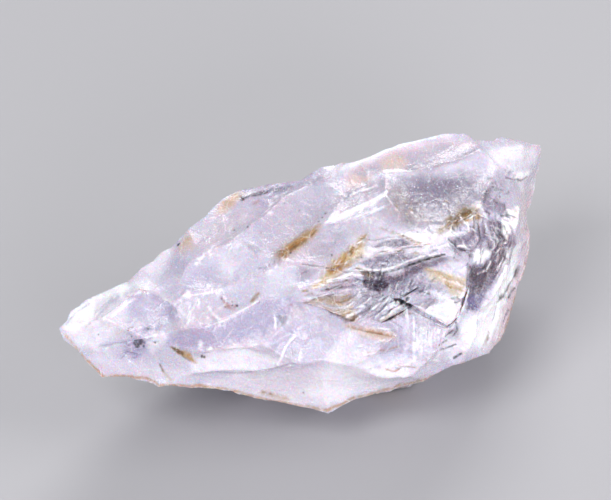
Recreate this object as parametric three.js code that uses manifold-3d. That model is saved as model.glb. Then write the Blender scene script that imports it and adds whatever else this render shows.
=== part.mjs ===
// Broken fragment of banded amethyst quartz, 40 mm long: one solid stone with sharp
// conchoidal facets. Millimetres, +Z up. The stone stands as it rests, on a small flat
// facet under its belly, and its origin is the bottom centre of its box.
import * as THREE from 'three';
import Module from 'manifold-3d';

const wasm = await Module();
wasm.setup();

// Corners of the face are drawn as seen from in front and above, on a sheet that leans
// back with the line of sight: [across, rise, lift], in millimetres. Lift is how much
// higher a corner lies than the sloping plane that the whole face follows.
const SIGHT_ANGLE = THREE.MathUtils.degToRad(40);
const FACE_HEIGHT = 2.67;
const FACE_FALL_PER_MM_ACROSS = -0.0687;
const FACE_CLIMB_PER_MM_RISE = 0.651;

// The facets: the longest edge of their mesh, how much their inner points dip in each
// pass that settles them, and how far ridges and facets wander from straight and flat.
const LONGEST_EDGE = 1.15;
const DISH_PER_PASS = 0.03;
const RELAX_PASSES = 60;
const RIDGE_CHIP = 0.1;
const FACET_GRAIN = 0.012;

// The cracks: the cutting wedge stands a little clear of the face, and its ends are a
// share of its full size.
const CRACK_WIDTH = 0.45;
const CRACK_DEPTH = 0.9;
const CRACK_CLEARANCE = 0.4;
const CRACK_END_SHARE = 0.3;

const FACE_CORNERS = {
  // rim, clockwise from the left tip
  a0: [-20, 9.8, 0], a1: [-19, 11.2, -0.2], a2: [-17.8, 12.2, -0.3], a3: [-16.2, 12.9, -0.3],
  a4: [-14.3, 13.9, -0.2], a5: [-12.2, 15.5, -0.3], a6: [-10.7, 16.5, -0.4], a7: [-9.4, 17.9, -0.3],
  a8: [-7.9, 19.2, -0.4], a9: [-6.6, 20.6, -0.9], a10: [-5, 21.3, -1.3], a11: [-3.2, 21.6, -1.1],
  a12: [0, 22.2, -0.4], a13: [1.8, 23.2, -0.4], a14: [3.4, 23.6, -0.5], a15: [4, 23.5, -0.1],
  a16: [6, 24.2, 0], a17: [8.3, 25.1, 0], a18: [10.3, 25.6, -0.2], a19: [11.8, 26, -0.5],
  a20: [13.8, 26, -1.1], a21: [14.6, 25.5, -1.3], a22: [16.1, 25.5, -2], a23: [16.8, 25.8, -2.7],
  a24: [18.9, 25.4, -3.7], a25: [20.1, 25.1, -4.7], a26: [20.2, 23.8, -6.3], a27: [20, 22.9, -7.9],
  a28: [19.2, 21.7, -6.6], a29: [19, 20.7, -6.1], a30: [19.1, 18.7, -4.8], a31: [19.2, 16.3, -4.2],
  a32: [18.7, 14.6, -4.1], a33: [17.8, 11.8, -3.9], a34: [16.9, 9.2, -3], a35: [15.8, 7.7, -1.8],
  a36: [13.6, 6.9, 0.4], a37: [11.7, 6.4, 0.2], a38: [10.2, 5.4, 0], a39: [8.3, 4.9, -0.2],
  a40: [6.7, 4.6, -0.4], a41: [4.3, 3.8, -0.5], a42: [2.3, 2.8, -0.5], a43: [1, 3.2, -0.5],
  a44: [-1.2, 3.6, -0.5], a45: [-3.2, 3.9, -0.2], a46: [-5.7, 4.6, 0.2], a47: [-8.3, 4.9, 0.2],
  a48: [-10.7, 5.1, 0.1], a49: [-11.8, 5, 0], a50: [-12.5, 5.5, -0.2], a51: [-14.3, 5.8, -0.4],
  a52: [-16.4, 5.8, -0.5], a53: [-17.5, 6.9, -0.4], a54: [-18.5, 8, -0.3], a55: [-19.6, 8.9, -0.1],
  // left blade and the crest down to the long ridge
  b1: [-16.3, 10.7, 1.5], b2: [-14.5, 12.1, 1.5], b3: [-13.2, 13, 1.1], b4: [-14.3, 9.7, 1.7],
  b5: [-17, 8.1, 0.2], b6: [-14.8, 8.5, 0.9], b7: [-12.5, 8.9, 1.3], b8: [-10.3, 8.3, 1.5],
  b9: [-9.9, 9.8, 2.4], b10: [-8.3, 9.9, 2.6], b11: [-10.7, 11.9, 2], b12: [-9.3, 15, 1.3],
  b13: [-8, 16.1, 1.3], b14: [-6, 17, 1.5], b15: [-3.2, 18.9, 1.3], b16: [-1.3, 20.8, 0.7],
  b17: [0, 21.4, 0.4], b18: [2.1, 22.3, 0.2], b19: [-5.2, 20.4, -0.4],
  // streak facets on the middle of the face
  c1: [-2.1, 15.8, 2.2], c2: [0, 17.1, 2.2], c3: [2.2, 18.7, 2.2], c4: [3.8, 19.5, 2],
  c5: [5.7, 20.2, 2], c6: [7.2, 21.1, 1.7], c7: [3.2, 18.6, 2.6], c8: [5.3, 19.6, 2.6],
  // crest under the top shoulder
  d1: [3.3, 20.8, 1.1], d2: [5.4, 21.9, 0.7], d3: [7.2, 22.9, 0.4], d4: [10, 23.1, 0.7],
  d5: [12.5, 23.8, 0.4], d6: [15, 24.6, -0.2],
  // right tip
  w1: [18.5, 24.7, -2.1], w2: [16.2, 23.8, -0.7], w3: [19.1, 22.8, -3.7],
  // right shoulder and the edge of the dark window
  e2: [16.5, 23.2, 0], e3: [17.8, 22.2, -1.1], e4: [18.6, 21.2, -2.9], e5: [15, 20.2, 2.2],
  e6: [18.2, 19.2, 0], e7: [17.7, 17, 0.4], e8: [17.3, 15.3, 0.7], e9: [16.7, 13.5, 0.7],
  e10: [16, 12.2, 0.9], e11: [14.8, 11.2, 1.5], e12: [14.2, 19.4, 2.4], e13: [12, 18.2, 2.6],
  // long ridge between the upper and the lower face
  f1: [-3.2, 12.2, 3.3], f2: [-5, 11.2, 3], f3: [-6.8, 10.4, 2.8], f4: [-1.2, 12.4, 3.5],
  f5: [0, 13.1, 3.5], f6: [-1.7, 13.8, 2.8], f7: [0.2, 15.2, 3], f8: [2.7, 14.8, 3],
  f9: [3.8, 16.2, 2.8], f10: [5.2, 17.4, 2.6], f11: [2.1, 13.7, 3.3],
  // front edge of the grey shoulder facet
  g1: [7.7, 20.1, 2.4], g2: [6.7, 18.7, 2.6], g3: [9.3, 18.3, 2.6],
  // lip of the ledge
  m1: [4.3, 14.2, 3.3], m2: [6.2, 13.9, 2.8], m3: [8.1, 14.2, 2.8], m4: [9.2, 14.8, 3],
  m5: [10.4, 15.4, 3.3], m6: [12.4, 15.9, 3.3],
  // lens facet above the ledge
  s1: [6, 15.8, 3.5], s2: [8.3, 16.6, 3.7], s3: [10.8, 16.9, 3.5], s10: [14.8, 16.6, 2.2],
  // jagged crack
  z1: [6.9, 12.4, 2.2], z2: [8.1, 12.2, 2], z3: [9.3, 11.7, 2.2], z4: [10.8, 10.8, 2.6],
  z5: [12.2, 10, 3], z6: [13.1, 10.8, 2.8], z7: [13.6, 11.9, 2.2], z8: [14, 13.4, 2],
  z9: [14.1, 15.2, 2.2],
  // edge of the stained fan
  h1: [0.2, 12, 3.7], h2: [1.8, 11.5, 3.7], h3: [3.5, 10.9, 3.7], h4: [4.8, 10.6, 3.5],
  // upper edge of the dark window
  q1: [15.1, 15.3, 1.5], q2: [16.4, 16.9, 1.1], q3: [16.9, 19.9, 0.9],
  // block left of the crack
  x1: [5.5, 13, 2.6], x2: [7.9, 10.9, 2.8], x3: [6.7, 10.3, 3.3],
  // block above the crack
  y1: [10.8, 14.2, 2.2], y2: [9.8, 13.2, 1.7], y3: [12.2, 12.8, 2.2],
  // lower face
  n1: [-1, 10.3, 3.3], n2: [-3.2, 8.5, 2.8], n3: [-6.2, 8, 2.4],
  v1: [-8.3, 7.8, 2],
  p1: [-1.8, 7.8, 2.6],
  // crest of the bottom bevel
  l1: [-10, 6, 0.7], l2: [-5.7, 6.2, 1.3], l3: [-3.5, 6.1, 1.5], l4: [-0.3, 6.9, 2.2],
  l5: [1.8, 7.3, 2.4], l6: [4, 6.8, 2.4], l7: [6.8, 5.7, 1.7], l8: [9.3, 5.8, 1.7],
  // foot of the ledge
  j2: [6.3, 13.3, 2], j3: [8.2, 13.7, 1.8], j4: [9.2, 14.3, 2.1], j5: [10.6, 14.8, 2.3],
  // lower face under the crack
  k5: [8, 9.3, 3.5], k6: [6.2, 7.8, 3],
  // lower right band
  r1: [11.7, 8.4, 3], r2: [14.5, 9.2, 1.7],
  // scoops on the upper left face
  t1: [-4.8, 17.1, 1.7], t2: [-3.2, 15.7, 2.2], t3: [-1.2, 15.3, 2.6], t4: [-3.2, 14.3, 2.6],
  t5: [-6.5, 13.2, 2.4], t6: [-9.5, 12.8, 2.2],
};

// Corners that the face hides: [x, y, z] in millimetres, on the same axes.
const HIDDEN_CORNERS = {
  // middle of the back
  back1: [-10.8, 10.2, 8.4], back2: [-3.4, 15.4, 11.6], back3: [-0.8, 17.4, 6.4],
  back4: [6.8, 18.4, 13.2], back5: [10.2, 21.6, 6.8], back6: [16.6, 24, 10.6],
  // low back edge
  heel1: [-18.2, 3.8, 8.5], heel2: [-16.2, 6.5, 5.9], heel3: [-10, 10.6, 2.6],
  heel4: [-3, 14.9, 1.3], heel5: [5, 18.8, 1], heel6: [12, 20, 1.6],
  heel7: [17.8, 21.8, 3.2], heel8: [19.3, 24.3, 5.9],
  // front of the belly
  belly1: [-14.4, 3.9, 5.1], belly2: [-7.6, 4.5, 2.7], belly3: [-0.6, 3.4, 2], belly4: [8.4, 4.9, 2.5],
  belly5: [13.9, 9.1, 2.1], belly6: [16.4, 13, 2.5], belly7: [17.6, 18.4, 4.1],
  // flat facet that the stone rests on
  rest1: [-5.5, 9.4, 0], rest2: [-2.2, 12.6, 0], rest3: [4.2, 15.2, 0], rest4: [10, 14.9, 0],
  rest5: [12, 11.6, 0], rest6: [9.2, 7.6, 0], rest7: [2.8, 6.2, 0], rest8: [-3.8, 6.9, 0],
};

// Every facet by its corners, clockwise as seen from outside the stone.
const FACETS = {
  // left blade
  bladeTop: 'a0 a1 a2 a3 b2 b1',
  bladeTip: 'a0 b1 b4 b6 b5 a54 a55',
  bladeNick: 'a3 a4 b3 b2',
  bladeScoop: 'b1 b2 b3 b11 b9 b7 b4',
  bladeWedge: 'b4 b7 b6',
  bladeLow: 'b5 b6 b7 b8 l1 a48 a49 a50 a51 a52 a53 a54',
  // slope and rim at the upper left
  slopeLow: 'a4 a5 a6 b12 b11 b3',
  slopeChip: 'a6 a7 b13 b12',
  slopeHigh: 'a7 a8 a9 b19 b16 b15 b14 b13',
  rimChip: 'a9 a10 b19',
  greyStrip: 'a10 a11 a12 b17 b16 b19',
  topLip: 'a12 a13 a14 a15 b18 b17',
  notchFacet: 'b18 a15 a16 d2 d1',
  // top shoulder and right tip
  topShoulder: 'a16 a17 a18 a19 a20 a21 d6 d5 d4 d3 d2',
  tipBack: 'a21 a22 a23 a24 w1 w2 d6',
  tipCorner: 'a24 a25 a26 a27 w3 w1',
  tipFace: 'w1 w3 e3 e2 w2',
  tipUnder: 'w3 a27 a28 e4 e3',
  // upper fields and streak
  upperField: 'b14 b15 b16 b17 b18 d1 c3 c2 c1 t2 t1',
  streakUpper: 'd1 d2 d3 c6 c5 c4 c3',
  streak: 'c3 c4 c5 c6 c8 c7',
  centralField: 'c1 c2 c3 c7 c8 c6 g1 g2 f10 f9 f8 f7 t3',
  greyShoulder: 'd3 d4 d5 d6 w2 e2 e5 e12 e13 g3 g1 c6',
  rightShoulder: 'e2 e3 e4 e6 q3 e5',
  step: 'e12 e5 q3 e6 e7 q2 s10',
  dropFacet: 'e13 e12 s10 m6 s3',
  wavyField: 'g1 g3 e13 s3 s2 s1 f9 f10 g2',
  // lens and ledge
  lens: 's1 s2 s3 m6 m5 m4 m3 m2 m1 f8 f9',
  ledgeRiser: 'm1 m2 m3 m4 m5 m6 j5 j4 j3 j2',
  hollow: 'm1 j2 j3 j4 j5 y1 y2 z2 z1 x1',
  bayFacet: 'm6 z9 z8 z7 y3 y1 j5',
  windowBrow: 'm6 s10 q1 z9',
  // middle left
  leftScoop: 'b12 b13 b14 t1 t2 c1 t3 t4 t5 t6 b11',
  leftField: 'b11 t6 t5 t4 t3 f6 f5 f4 f1 f2 f3 b10 b9',
  fanHead: 't3 f7 f8 m1 f11 f5 f6',
  fan: 'f4 f5 f11 m1 x1 h4 h3 h2 h1',
  // cracked block and dark window
  crackBlock: 'y1 y3 z7 z6 z5 z4 z3 z2 y2',
  crackSlab: 'x1 z1 z2 z3 x2 x3 h4',
  window: 'z9 q1 s10 q2 e7 e8 e9 e10 e11 z7 z8',
  // lower face
  violetFacet: 'b8 b7 b9 b10 f3 f2 f1 f4 n1 n2 n3 v1',
  brightBand: 'b8 v1 n3 n2 p1 l4 l3 l2 l1',
  bevelLeft: 'l1 l2 l3 l4 l5 a42 a43 a44 a45 a46 a47 a48',
  bevelRight: 'l5 l6 l7 l8 a38 a39 a40 a41 a42',
  lowerField: 'f4 h1 h2 h3 h4 x3 k5 k6 l6 l5 l4 p1 n2 n1',
  lowerCorner: 'x3 x2 z3 z4 z5 r1 l8 l7 l6 k6 k5',
  rightField: 'z5 z6 z7 e11 r2 a36 a37 a38 l8 r1',
  // right band
  bandHigh: 'e4 a28 a29 a30 a31 e7 e6',
  bandMiddle: 'e7 a31 a32 a33 e10 e9 e8',
  bandLow: 'e10 a33 a34 a35 a36 r2 e11',
  // back
  backLeft: 'a6 a5 a4 a3 a2 a1 a0 heel1 heel2 back1',
  backCrestLeft: 'a10 a9 a8 a7 a6 back1 back2',
  backScoopLeft: 'back2 back1 heel2 heel3 heel4 back3',
  backCrest: 'a15 a14 a13 a12 a11 a10 back2 back4',
  backScoop: 'back4 back2 back3 heel4 heel5 back5',
  backShoulder: 'a20 a19 a18 a17 a16 a15 back4 back6',
  backScoopRight: 'back6 back4 back5 heel6 heel7',
  backStep: 'back5 heel5 heel6',
  backTipUpper: 'a25 a24 a23 a22 a21 a20 back6',
  backTipLower: 'back6 heel7 heel8',
  backTip: 'a27 a26 a25 back6 heel8',
  // underside
  rest: 'rest1 rest8 rest7 rest6 rest5 rest4 rest3 rest2',
  underBackLeft: 'heel4 heel3 rest1 rest2',
  underBack: 'heel6 heel5 heel4 rest2 rest3 rest4',
  underRight: 'heel7 heel6 rest4 rest5 belly6 belly7',
  underLeft: 'heel3 heel2 belly1 belly2 rest8 rest1',
  blade: 'heel2 heel1 a0 a55 a54 a53 a52 belly1',
  flankLeft: 'belly1 a52 a51 a50 a49 a48 belly2',
  flankMiddle: 'belly2 a48 a47 a46 a45 belly3 rest7 rest8',
  prowLeft: 'belly3 a45 a44 a43 a42',
  prowRight: 'belly3 a42 a41 a40 a39 a38 belly4',
  underPocket: 'belly3 belly4 rest6 rest7',
  flankRight: 'belly4 a38 a37 a36 belly5',
  underFront: 'belly4 belly5 rest5 rest6',
  cornerLow: 'belly5 a36 a35 a34 belly6',
  underCorner: 'belly5 belly6 rest5',
  cornerHigh: 'belly6 a34 a33 a32 a31 belly7',
  rightEnd: 'belly7 a31 a30 a29 a28 heel8 heel7',
  rightTip: 'a28 a27 heel8',
};

// How deep a facet dips, next to the usual dish of 1. The thin tip has flatter facets.
const DISH_OF_FACET = {
  rest: 0, window: 2.5, hollow: 1.6, leftScoop: 1.5, bladeScoop: 1.4,
  tipUnder: 0, backTip: 0.2, rightTip: 0, tipCorner: 0.4,
};

// Open cracks, each along a row of corners.
const CRACKS = ['z1 z2 z3 z4 z5 z6 z7 z8', 'x3 x2 z3', 'z2 y2'];

// A smooth, repeatable wander of a point, the same wherever it is asked twice.
function wander(point, size) {
  const { x, y, z } = point;
  return new THREE.Vector3(
    Math.sin(3.1 * x + 1.7 * y) + Math.sin(5.3 * z - 2.9 * x + 1),
    Math.sin(2.7 * y + 2.3 * z + 2) + Math.sin(4.9 * x + 3.7 * y),
    Math.sin(3.7 * z + 1.9 * x + 4) + Math.sin(5.9 * y - 3.3 * z),
  ).multiplyScalar(size / 2);
}

function seenCorner([across, rise, lift]) {
  const slope = FACE_FALL_PER_MM_ACROSS * across + FACE_CLIMB_PER_MM_RISE * rise;
  const z = FACE_HEIGHT + slope + lift;
  const y = (rise - z * Math.cos(SIGHT_ANGLE)) / Math.sin(SIGHT_ANGLE);
  return new THREE.Vector3(across, y, z);
}

// Newell's normal of a loop of points.
function loopNormal(points) {
  const normal = new THREE.Vector3();
  points.forEach((point, i) => {
    const next = points[(i + 1) % points.length];
    normal.add(new THREE.Vector3().crossVectors(point, next));
  });
  return normal.normalize();
}

const points = [];
const places = {};
for (const [name, corner] of Object.entries(FACE_CORNERS)) {
  places[name] = points.push(seenCorner(corner)) - 1;
}
for (const [name, corner] of Object.entries(HIDDEN_CORNERS)) {
  places[name] = points.push(new THREE.Vector3(...corner)) - 1;
}

// Each facet is cut into triangles on its own flat projection. A triangle is
// { corners, facet }.
const facetNormals = {};
let triangles = [];
for (const [facet, names] of Object.entries(FACETS)) {
  const loop = names.split(' ').reverse().map((name) => places[name]);
  const normal = loopNormal(loop.map((i) => points[i]));
  facetNormals[facet] = normal;
  const flat = new THREE.Quaternion().setFromUnitVectors(normal, new THREE.Vector3(0, 0, 1));
  const outline = loop.map((i) => {
    const { x, y } = points[i].clone().applyQuaternion(flat);
    return new THREE.Vector2(x, y);
  });
  for (const [a, b, c] of THREE.ShapeUtils.triangulateShape(outline, [])) {
    triangles.push({ corners: [loop[a], loop[b], loop[c]], facet });
  }
}

function edgeKey(a, b) {
  return a < b ? `${a} ${b}` : `${b} ${a}`;
}

function edgeMap() {
  const edges = new Map();
  triangles.forEach(({ corners }, index) => {
    corners.forEach((a, i) => {
      const key = edgeKey(a, corners[(i + 1) % 3]);
      if (!edges.has(key)) edges.set(key, []);
      edges.get(key).push(index);
    });
  });
  return edges;
}

function edgeLength(key) {
  const [a, b] = key.split(' ').map(Number);
  return points[a].distanceTo(points[b]);
}

// Splits the long edges once, at most one edge to a triangle. Says if any was split.
function splitLongEdges() {
  const long = [...edgeMap()].filter(([key]) => edgeLength(key) > LONGEST_EDGE);
  long.sort(([a], [b]) => edgeLength(b) - edgeLength(a));
  const used = new Set();
  const added = [];
  for (const [key, sides] of long) {
    if (sides.some((side) => used.has(side))) continue;
    const [a, b] = key.split(' ').map(Number);
    const middle = points.push(points[a].clone().lerp(points[b], 0.5)) - 1;
    for (const side of sides) {
      used.add(side);
      const { corners, facet } = triangles[side];
      added.push({ corners: corners.map((c) => (c === a ? middle : c)), facet });
      added.push({ corners: corners.map((c) => (c === b ? middle : c)), facet });
    }
  }
  triangles = triangles.filter((_, index) => !used.has(index)).concat(added);
  return added.length > 0;
}

function angleAt(corner, a, b) {
  const toA = points[a].clone().sub(points[corner]);
  return toA.angleTo(points[b].clone().sub(points[corner]));
}

// Turns the shared edge of two triangles of one facet where that makes them rounder.
function turnEdges() {
  const edges = edgeMap();
  const used = new Set();
  for (const [key, [first, second]] of [...edges]) {
    if (used.has(first) || used.has(second)) continue;
    if (triangles[first].facet !== triangles[second].facet) continue;
    const [a, b] = key.split(' ').map(Number);
    const far = triangles[first].corners.find((c) => c !== a && c !== b);
    const near = triangles[second].corners.find((c) => c !== a && c !== b);
    if (edges.has(edgeKey(far, near))) continue;
    if (angleAt(far, a, b) + angleAt(near, a, b) <= Math.PI + 0.01) continue;
    const place = triangles[first].corners.indexOf(far);
    const after = triangles[first].corners[(place + 1) % 3];
    const before = triangles[first].corners[(place + 2) % 3];
    triangles[first].corners = [far, after, near];
    triangles[second].corners = [far, near, before];
    edges.set(edgeKey(far, near), [first, second]);
    used.add(first).add(second);
  }
}

turnEdges();
while (splitLongEdges()) turnEdges();
turnEdges();

// Ridge points keep their place. Inner points settle between their neighbours and dip
// a little, which gives every facet its shallow scoop.
const neighbours = points.map(() => new Set());
const facetsOf = points.map(() => new Set());
for (const { corners, facet } of triangles) {
  corners.forEach((corner, i) => {
    neighbours[corner].add(corners[(i + 1) % 3]).add(corners[(i + 2) % 3]);
    facetsOf[corner].add(facet);
  });
}
for (let pass = 0; pass < RELAX_PASSES; pass += 1) {
  points.forEach((point, index) => {
    if (facetsOf[index].size > 1) return;
    const [facet] = facetsOf[index];
    const middle = new THREE.Vector3();
    neighbours[index].forEach((other) => middle.add(points[other]));
    middle.divideScalar(neighbours[index].size);
    const dish = DISH_PER_PASS * (DISH_OF_FACET[facet] ?? 1);
    point.copy(middle).addScaledVector(facetNormals[facet], -dish);
  });
}
points.forEach((point, index) => {
  if (facetsOf[index].has('rest')) return;
  point.add(wander(point, facetsOf[index].size > 1 ? RIDGE_CHIP : FACET_GRAIN));
});

function solidFrom(vertices, faces) {
  const vertProperties = new Float32Array(vertices.flatMap((v) => [v.x, v.y, v.z]));
  const triVerts = new Uint32Array(faces.flat());
  return new wasm.Manifold(new wasm.Mesh({ numProp: 3, vertProperties, triVerts }));
}

// A V-shaped cut along a row of corners, straight in along the line of sight, that
// pinches out at both ends.
function crackSolid(names) {
  const inward = new THREE.Vector3(0, Math.cos(SIGHT_ANGLE), -Math.sin(SIGHT_ANGLE));
  const path = names.split(' ').map((name) => points[places[name]]);
  const vertices = [];
  const faces = [];
  path.forEach((point, i) => {
    const before = path[Math.max(i - 1, 0)];
    const after = path[Math.min(i + 1, path.length - 1)];
    const along = after.clone().sub(before).normalize();
    const atEnd = i === 0 || i === path.length - 1;
    const size = atEnd ? CRACK_END_SHARE : 1;
    const side = new THREE.Vector3().crossVectors(along, inward).normalize();
    const top = point.clone().addScaledVector(inward, -CRACK_CLEARANCE);
    const halfWidth = (CRACK_WIDTH * size) / 2;
    vertices.push(top.clone().addScaledVector(side, halfWidth));
    vertices.push(top.clone().addScaledVector(side, -halfWidth));
    vertices.push(point.clone().addScaledVector(inward, CRACK_DEPTH * size));
  });
  for (let ring = 0; ring < path.length - 1; ring += 1) {
    for (let i = 0; i < 3; i += 1) {
      const a = ring * 3 + i;
      const b = ring * 3 + ((i + 1) % 3);
      faces.push([a, b, b + 3], [a, b + 3, a + 3]);
    }
  }
  const last = vertices.length - 3;
  faces.push([0, 2, 1], [last, last + 1, last + 2]);
  return solidFrom(vertices, faces);
}

let stone = solidFrom(points, triangles.map(({ corners }) => corners));
for (const names of CRACKS) {
  stone = stone.subtract(crackSolid(names));
}

const { vertProperties, triVerts } = stone.getMesh();
const geometry = new THREE.BufferGeometry();
geometry.setAttribute('position', new THREE.BufferAttribute(vertProperties, 3));
geometry.setIndex(new THREE.BufferAttribute(triVerts, 1));
geometry.computeBoundingBox();
const box = geometry.boundingBox;
geometry.translate(
  -(box.min.x + box.max.x) / 2,
  -(box.min.y + box.max.y) / 2,
  -box.min.z,
);
geometry.computeVertexNormals();

const amethyst = new THREE.MeshStandardMaterial({
  color: '#c9bfdc',
  roughness: 0.3,
  metalness: 0,
});
const fragment = new THREE.Mesh(geometry, amethyst);
fragment.name = 'amethyst_fragment';

const object = new THREE.Group();
object.add(fragment);

export default object;
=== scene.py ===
# %% [markdown]
# # A broken piece of banded amethyst
# This lesson dresses one stone: a rough, broken fragment of pale lilac quartz, 40 mm long.
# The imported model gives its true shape, so the first cell loads it and keeps its box. All
# that follows stays in metres and in the same frame.

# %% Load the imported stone
import math
import random

import bpy
import numpy as np
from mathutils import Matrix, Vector, noise
from mathutils.bvhtree import BVHTree
from mathutils.kdtree import KDTree


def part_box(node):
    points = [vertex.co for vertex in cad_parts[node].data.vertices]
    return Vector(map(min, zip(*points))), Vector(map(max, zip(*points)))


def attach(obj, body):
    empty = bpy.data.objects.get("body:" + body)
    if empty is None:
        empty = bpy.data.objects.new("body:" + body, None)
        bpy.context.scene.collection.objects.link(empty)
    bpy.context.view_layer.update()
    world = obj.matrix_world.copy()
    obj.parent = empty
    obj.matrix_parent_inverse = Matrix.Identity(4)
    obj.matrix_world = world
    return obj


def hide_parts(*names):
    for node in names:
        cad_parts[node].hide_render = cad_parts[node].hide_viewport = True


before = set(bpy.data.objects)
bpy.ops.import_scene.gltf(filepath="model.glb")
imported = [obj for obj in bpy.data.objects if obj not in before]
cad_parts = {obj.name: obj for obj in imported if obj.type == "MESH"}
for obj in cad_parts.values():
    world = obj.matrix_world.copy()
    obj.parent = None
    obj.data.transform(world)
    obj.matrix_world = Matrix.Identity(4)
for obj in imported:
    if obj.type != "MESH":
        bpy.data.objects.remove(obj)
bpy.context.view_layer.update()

MM = 0.001
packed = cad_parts["amethyst_fragment"]
low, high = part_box("amethyst_fragment")
print("stone box in mm:", [round(side / MM, 1) for side in high - low])

# %% [markdown]
# ## Camera
# A small stone is photographed from a distance with a long lens, which keeps its far end
# as large as its near end. A short lens close up would swell the near corner. The camera
# looks down 40 degrees, as a person looks at a stone on a table.

# %% Where the camera looks from
PHOTO_WIDTH = 611
PHOTO_HEIGHT = 500
PIXELS_PER_MM = 12
SIGHT_ANGLE = math.radians(40)
LENS = 1000  # mm
SENSOR = 36  # mm
PHOTO_ORIGIN = (300, 446)  # the pixel where the stone's drawing sheet has its origin
SHEET_SHIFT = Vector((-0.114, -12.610, 0)) * MM  # the sheet's origin in the stone's frame

to_camera = Vector((0, -math.cos(SIGHT_ANGLE), math.sin(SIGHT_ANGLE)))
picture_right = Vector((1, 0, 0))
picture_up = Vector((0, math.sin(SIGHT_ANGLE), math.cos(SIGHT_ANGLE)))
middle_across = (PHOTO_WIDTH / 2 - PHOTO_ORIGIN[0]) / PIXELS_PER_MM * MM
middle_rise = (PHOTO_ORIGIN[1] - PHOTO_HEIGHT / 2) / PIXELS_PER_MM * MM
sight_point = SHEET_SHIFT + picture_right * middle_across + picture_up * middle_rise
FACE_DEPTH = 3 * MM  # how far the middle of the face lies behind the sheet's origin
distance = LENS / SENSOR * PHOTO_WIDTH / PIXELS_PER_MM * MM
print("camera distance in m:", round(distance, 3))

# %% Place the camera
CLIP_END = 10  # metres, well behind the stone

camera_data = bpy.data.cameras.new("camera")
camera_data.lens = LENS
camera_data.sensor_width = SENSOR
camera_data.clip_end = CLIP_END
camera = bpy.data.objects.new("camera", camera_data)
bpy.context.scene.collection.objects.link(camera)
camera.location = sight_point + to_camera * (distance - FACE_DEPTH)
camera.rotation_euler = (math.pi / 2 - SIGHT_ANGLE, 0, 0)
bpy.context.scene.camera = camera
print("camera at:", [round(value, 3) for value in camera.location])

# %% [markdown]
# ## Colours and nodes
# A listed colour is an sRGB value, and Blender counts in linear light, so one function
# turns each hex colour to linear. Materials could be wired by hand in the node editor.
# Here one small function adds a node with its settings and links.

# %% Colour and node helpers
def linear(hex_colour):
    """An sRGB hex colour as linear red, green, blue and alpha."""
    parts = [int(hex_colour[i : i + 2], 16) / 255 for i in (1, 3, 5)]
    curve = [p / 12.92 if p <= 0.04045 else ((p + 0.055) / 1.055) ** 2.4 for p in parts]
    return (*curve, 1.0)


def add_node(tree, kind, settings=None, links=None):
    """Adds a node, sets its properties and sockets, and links what feeds its sockets."""
    node = tree.nodes.new(kind)
    for key, value in (settings or {}).items():
        if isinstance(key, str) and hasattr(node, key):
            setattr(node, key, value)
        else:
            node.inputs[key].default_value = value
    for key, source in (links or {}).items():
        tree.links.new(source, node.inputs[key])
    return node


def new_material(name):
    """An empty node material and its output node."""
    material = bpy.data.materials.new(name)
    material.use_nodes = True
    material.node_tree.nodes.clear()
    output = material.node_tree.nodes.new("ShaderNodeOutputMaterial")
    return material, material.node_tree, output


print("mid grey in linear light:", round(linear("#808080")[0], 3))

# %% [markdown]
# ## Floor
# The stone lies on a wide sheet of plain paper. A curved backdrop would do the same, but
# the camera looks down so steeply that it never sees the sheet's end.

# %% Lay the floor
PAPER_GREY = "#A9A8AB"
FLOOR_SIZE = 4  # metres
FLOOR_DROP = 0.2 * MM  # just under the stone, so that the two share no plane

bpy.ops.object.select_all(action="DESELECT")
bpy.ops.mesh.primitive_plane_add(size=FLOOR_SIZE, location=(0, 0, -FLOOR_DROP))
floor = bpy.context.object
floor.name = "floor"
bpy.ops.object.transform_apply(location=True)
# Matt white paper has no shine, so the eye sees only the stone's soft shadow on it.
paper, paper_tree, paper_out = new_material("matt white paper")
paper_shader = add_node(
    paper_tree,
    "ShaderNodeBsdfPrincipled",
    {"Base Color": linear(PAPER_GREY), "Roughness": 0.85, "Specular IOR Level": 0.2},
)
paper_tree.links.new(paper_shader.outputs[0], paper_out.inputs["Surface"])
floor.data.materials.append(paper)
print("floor:", FLOOR_SIZE, "m wide")

# %% [markdown]
# ## Light
# Broad soft lamps stand in for a studio's light boxes: a key from the upper left, weaker
# ones from the front and the right, and one behind, which shines through the thin edges
# of the stone. One picture of a room wrapped round the scene would be simpler, but then
# no lamp could be moved by itself.

# %% Lamps
STONE_MIDDLE = Vector((0, 0, 8 * MM))
# name: (compass angle, height angle, reach in metres, size in metres, watts, colour)
LAMPS = {
    "key lamp": (-38, 48, 0.5, 0.22, 1.38, "#FFFFFF"),
    "front lamp": (22, 16, 0.6, 0.3, 2.0, "#FDFBFF"),
    "side lamp": (84, 28, 0.6, 0.3, 1.5, "#FFFFFF"),
    "back lamp": (172, 38, 0.6, 0.3, 2.1, "#FFFFFF"),
}


def add_lamp(name, azimuth, elevation, reach, size, power, colour):
    """A square soft lamp that faces the stone from a compass angle and a height angle."""
    data = bpy.data.lights.new(name, "AREA")
    data.size = size
    data.energy = power
    data.color = linear(colour)[:3]
    lamp = bpy.data.objects.new(name, data)
    bpy.context.scene.collection.objects.link(lamp)
    turn, lift = math.radians(azimuth), math.radians(elevation)
    level = math.cos(lift)
    away = Vector((math.sin(turn) * level, -math.cos(turn) * level, math.sin(lift)))
    lamp.location = STONE_MIDDLE + away * reach
    lamp.rotation_euler = away.to_track_quat("Z", "Y").to_euler()


for lamp_name, lamp_settings in LAMPS.items():
    add_lamp(lamp_name, *lamp_settings)
print("lamps:", len(LAMPS))

# %% Soft light from all around
SKY_COLOUR = linear("#EEF0F5")
SKY_STRENGTH = 0.47

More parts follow.
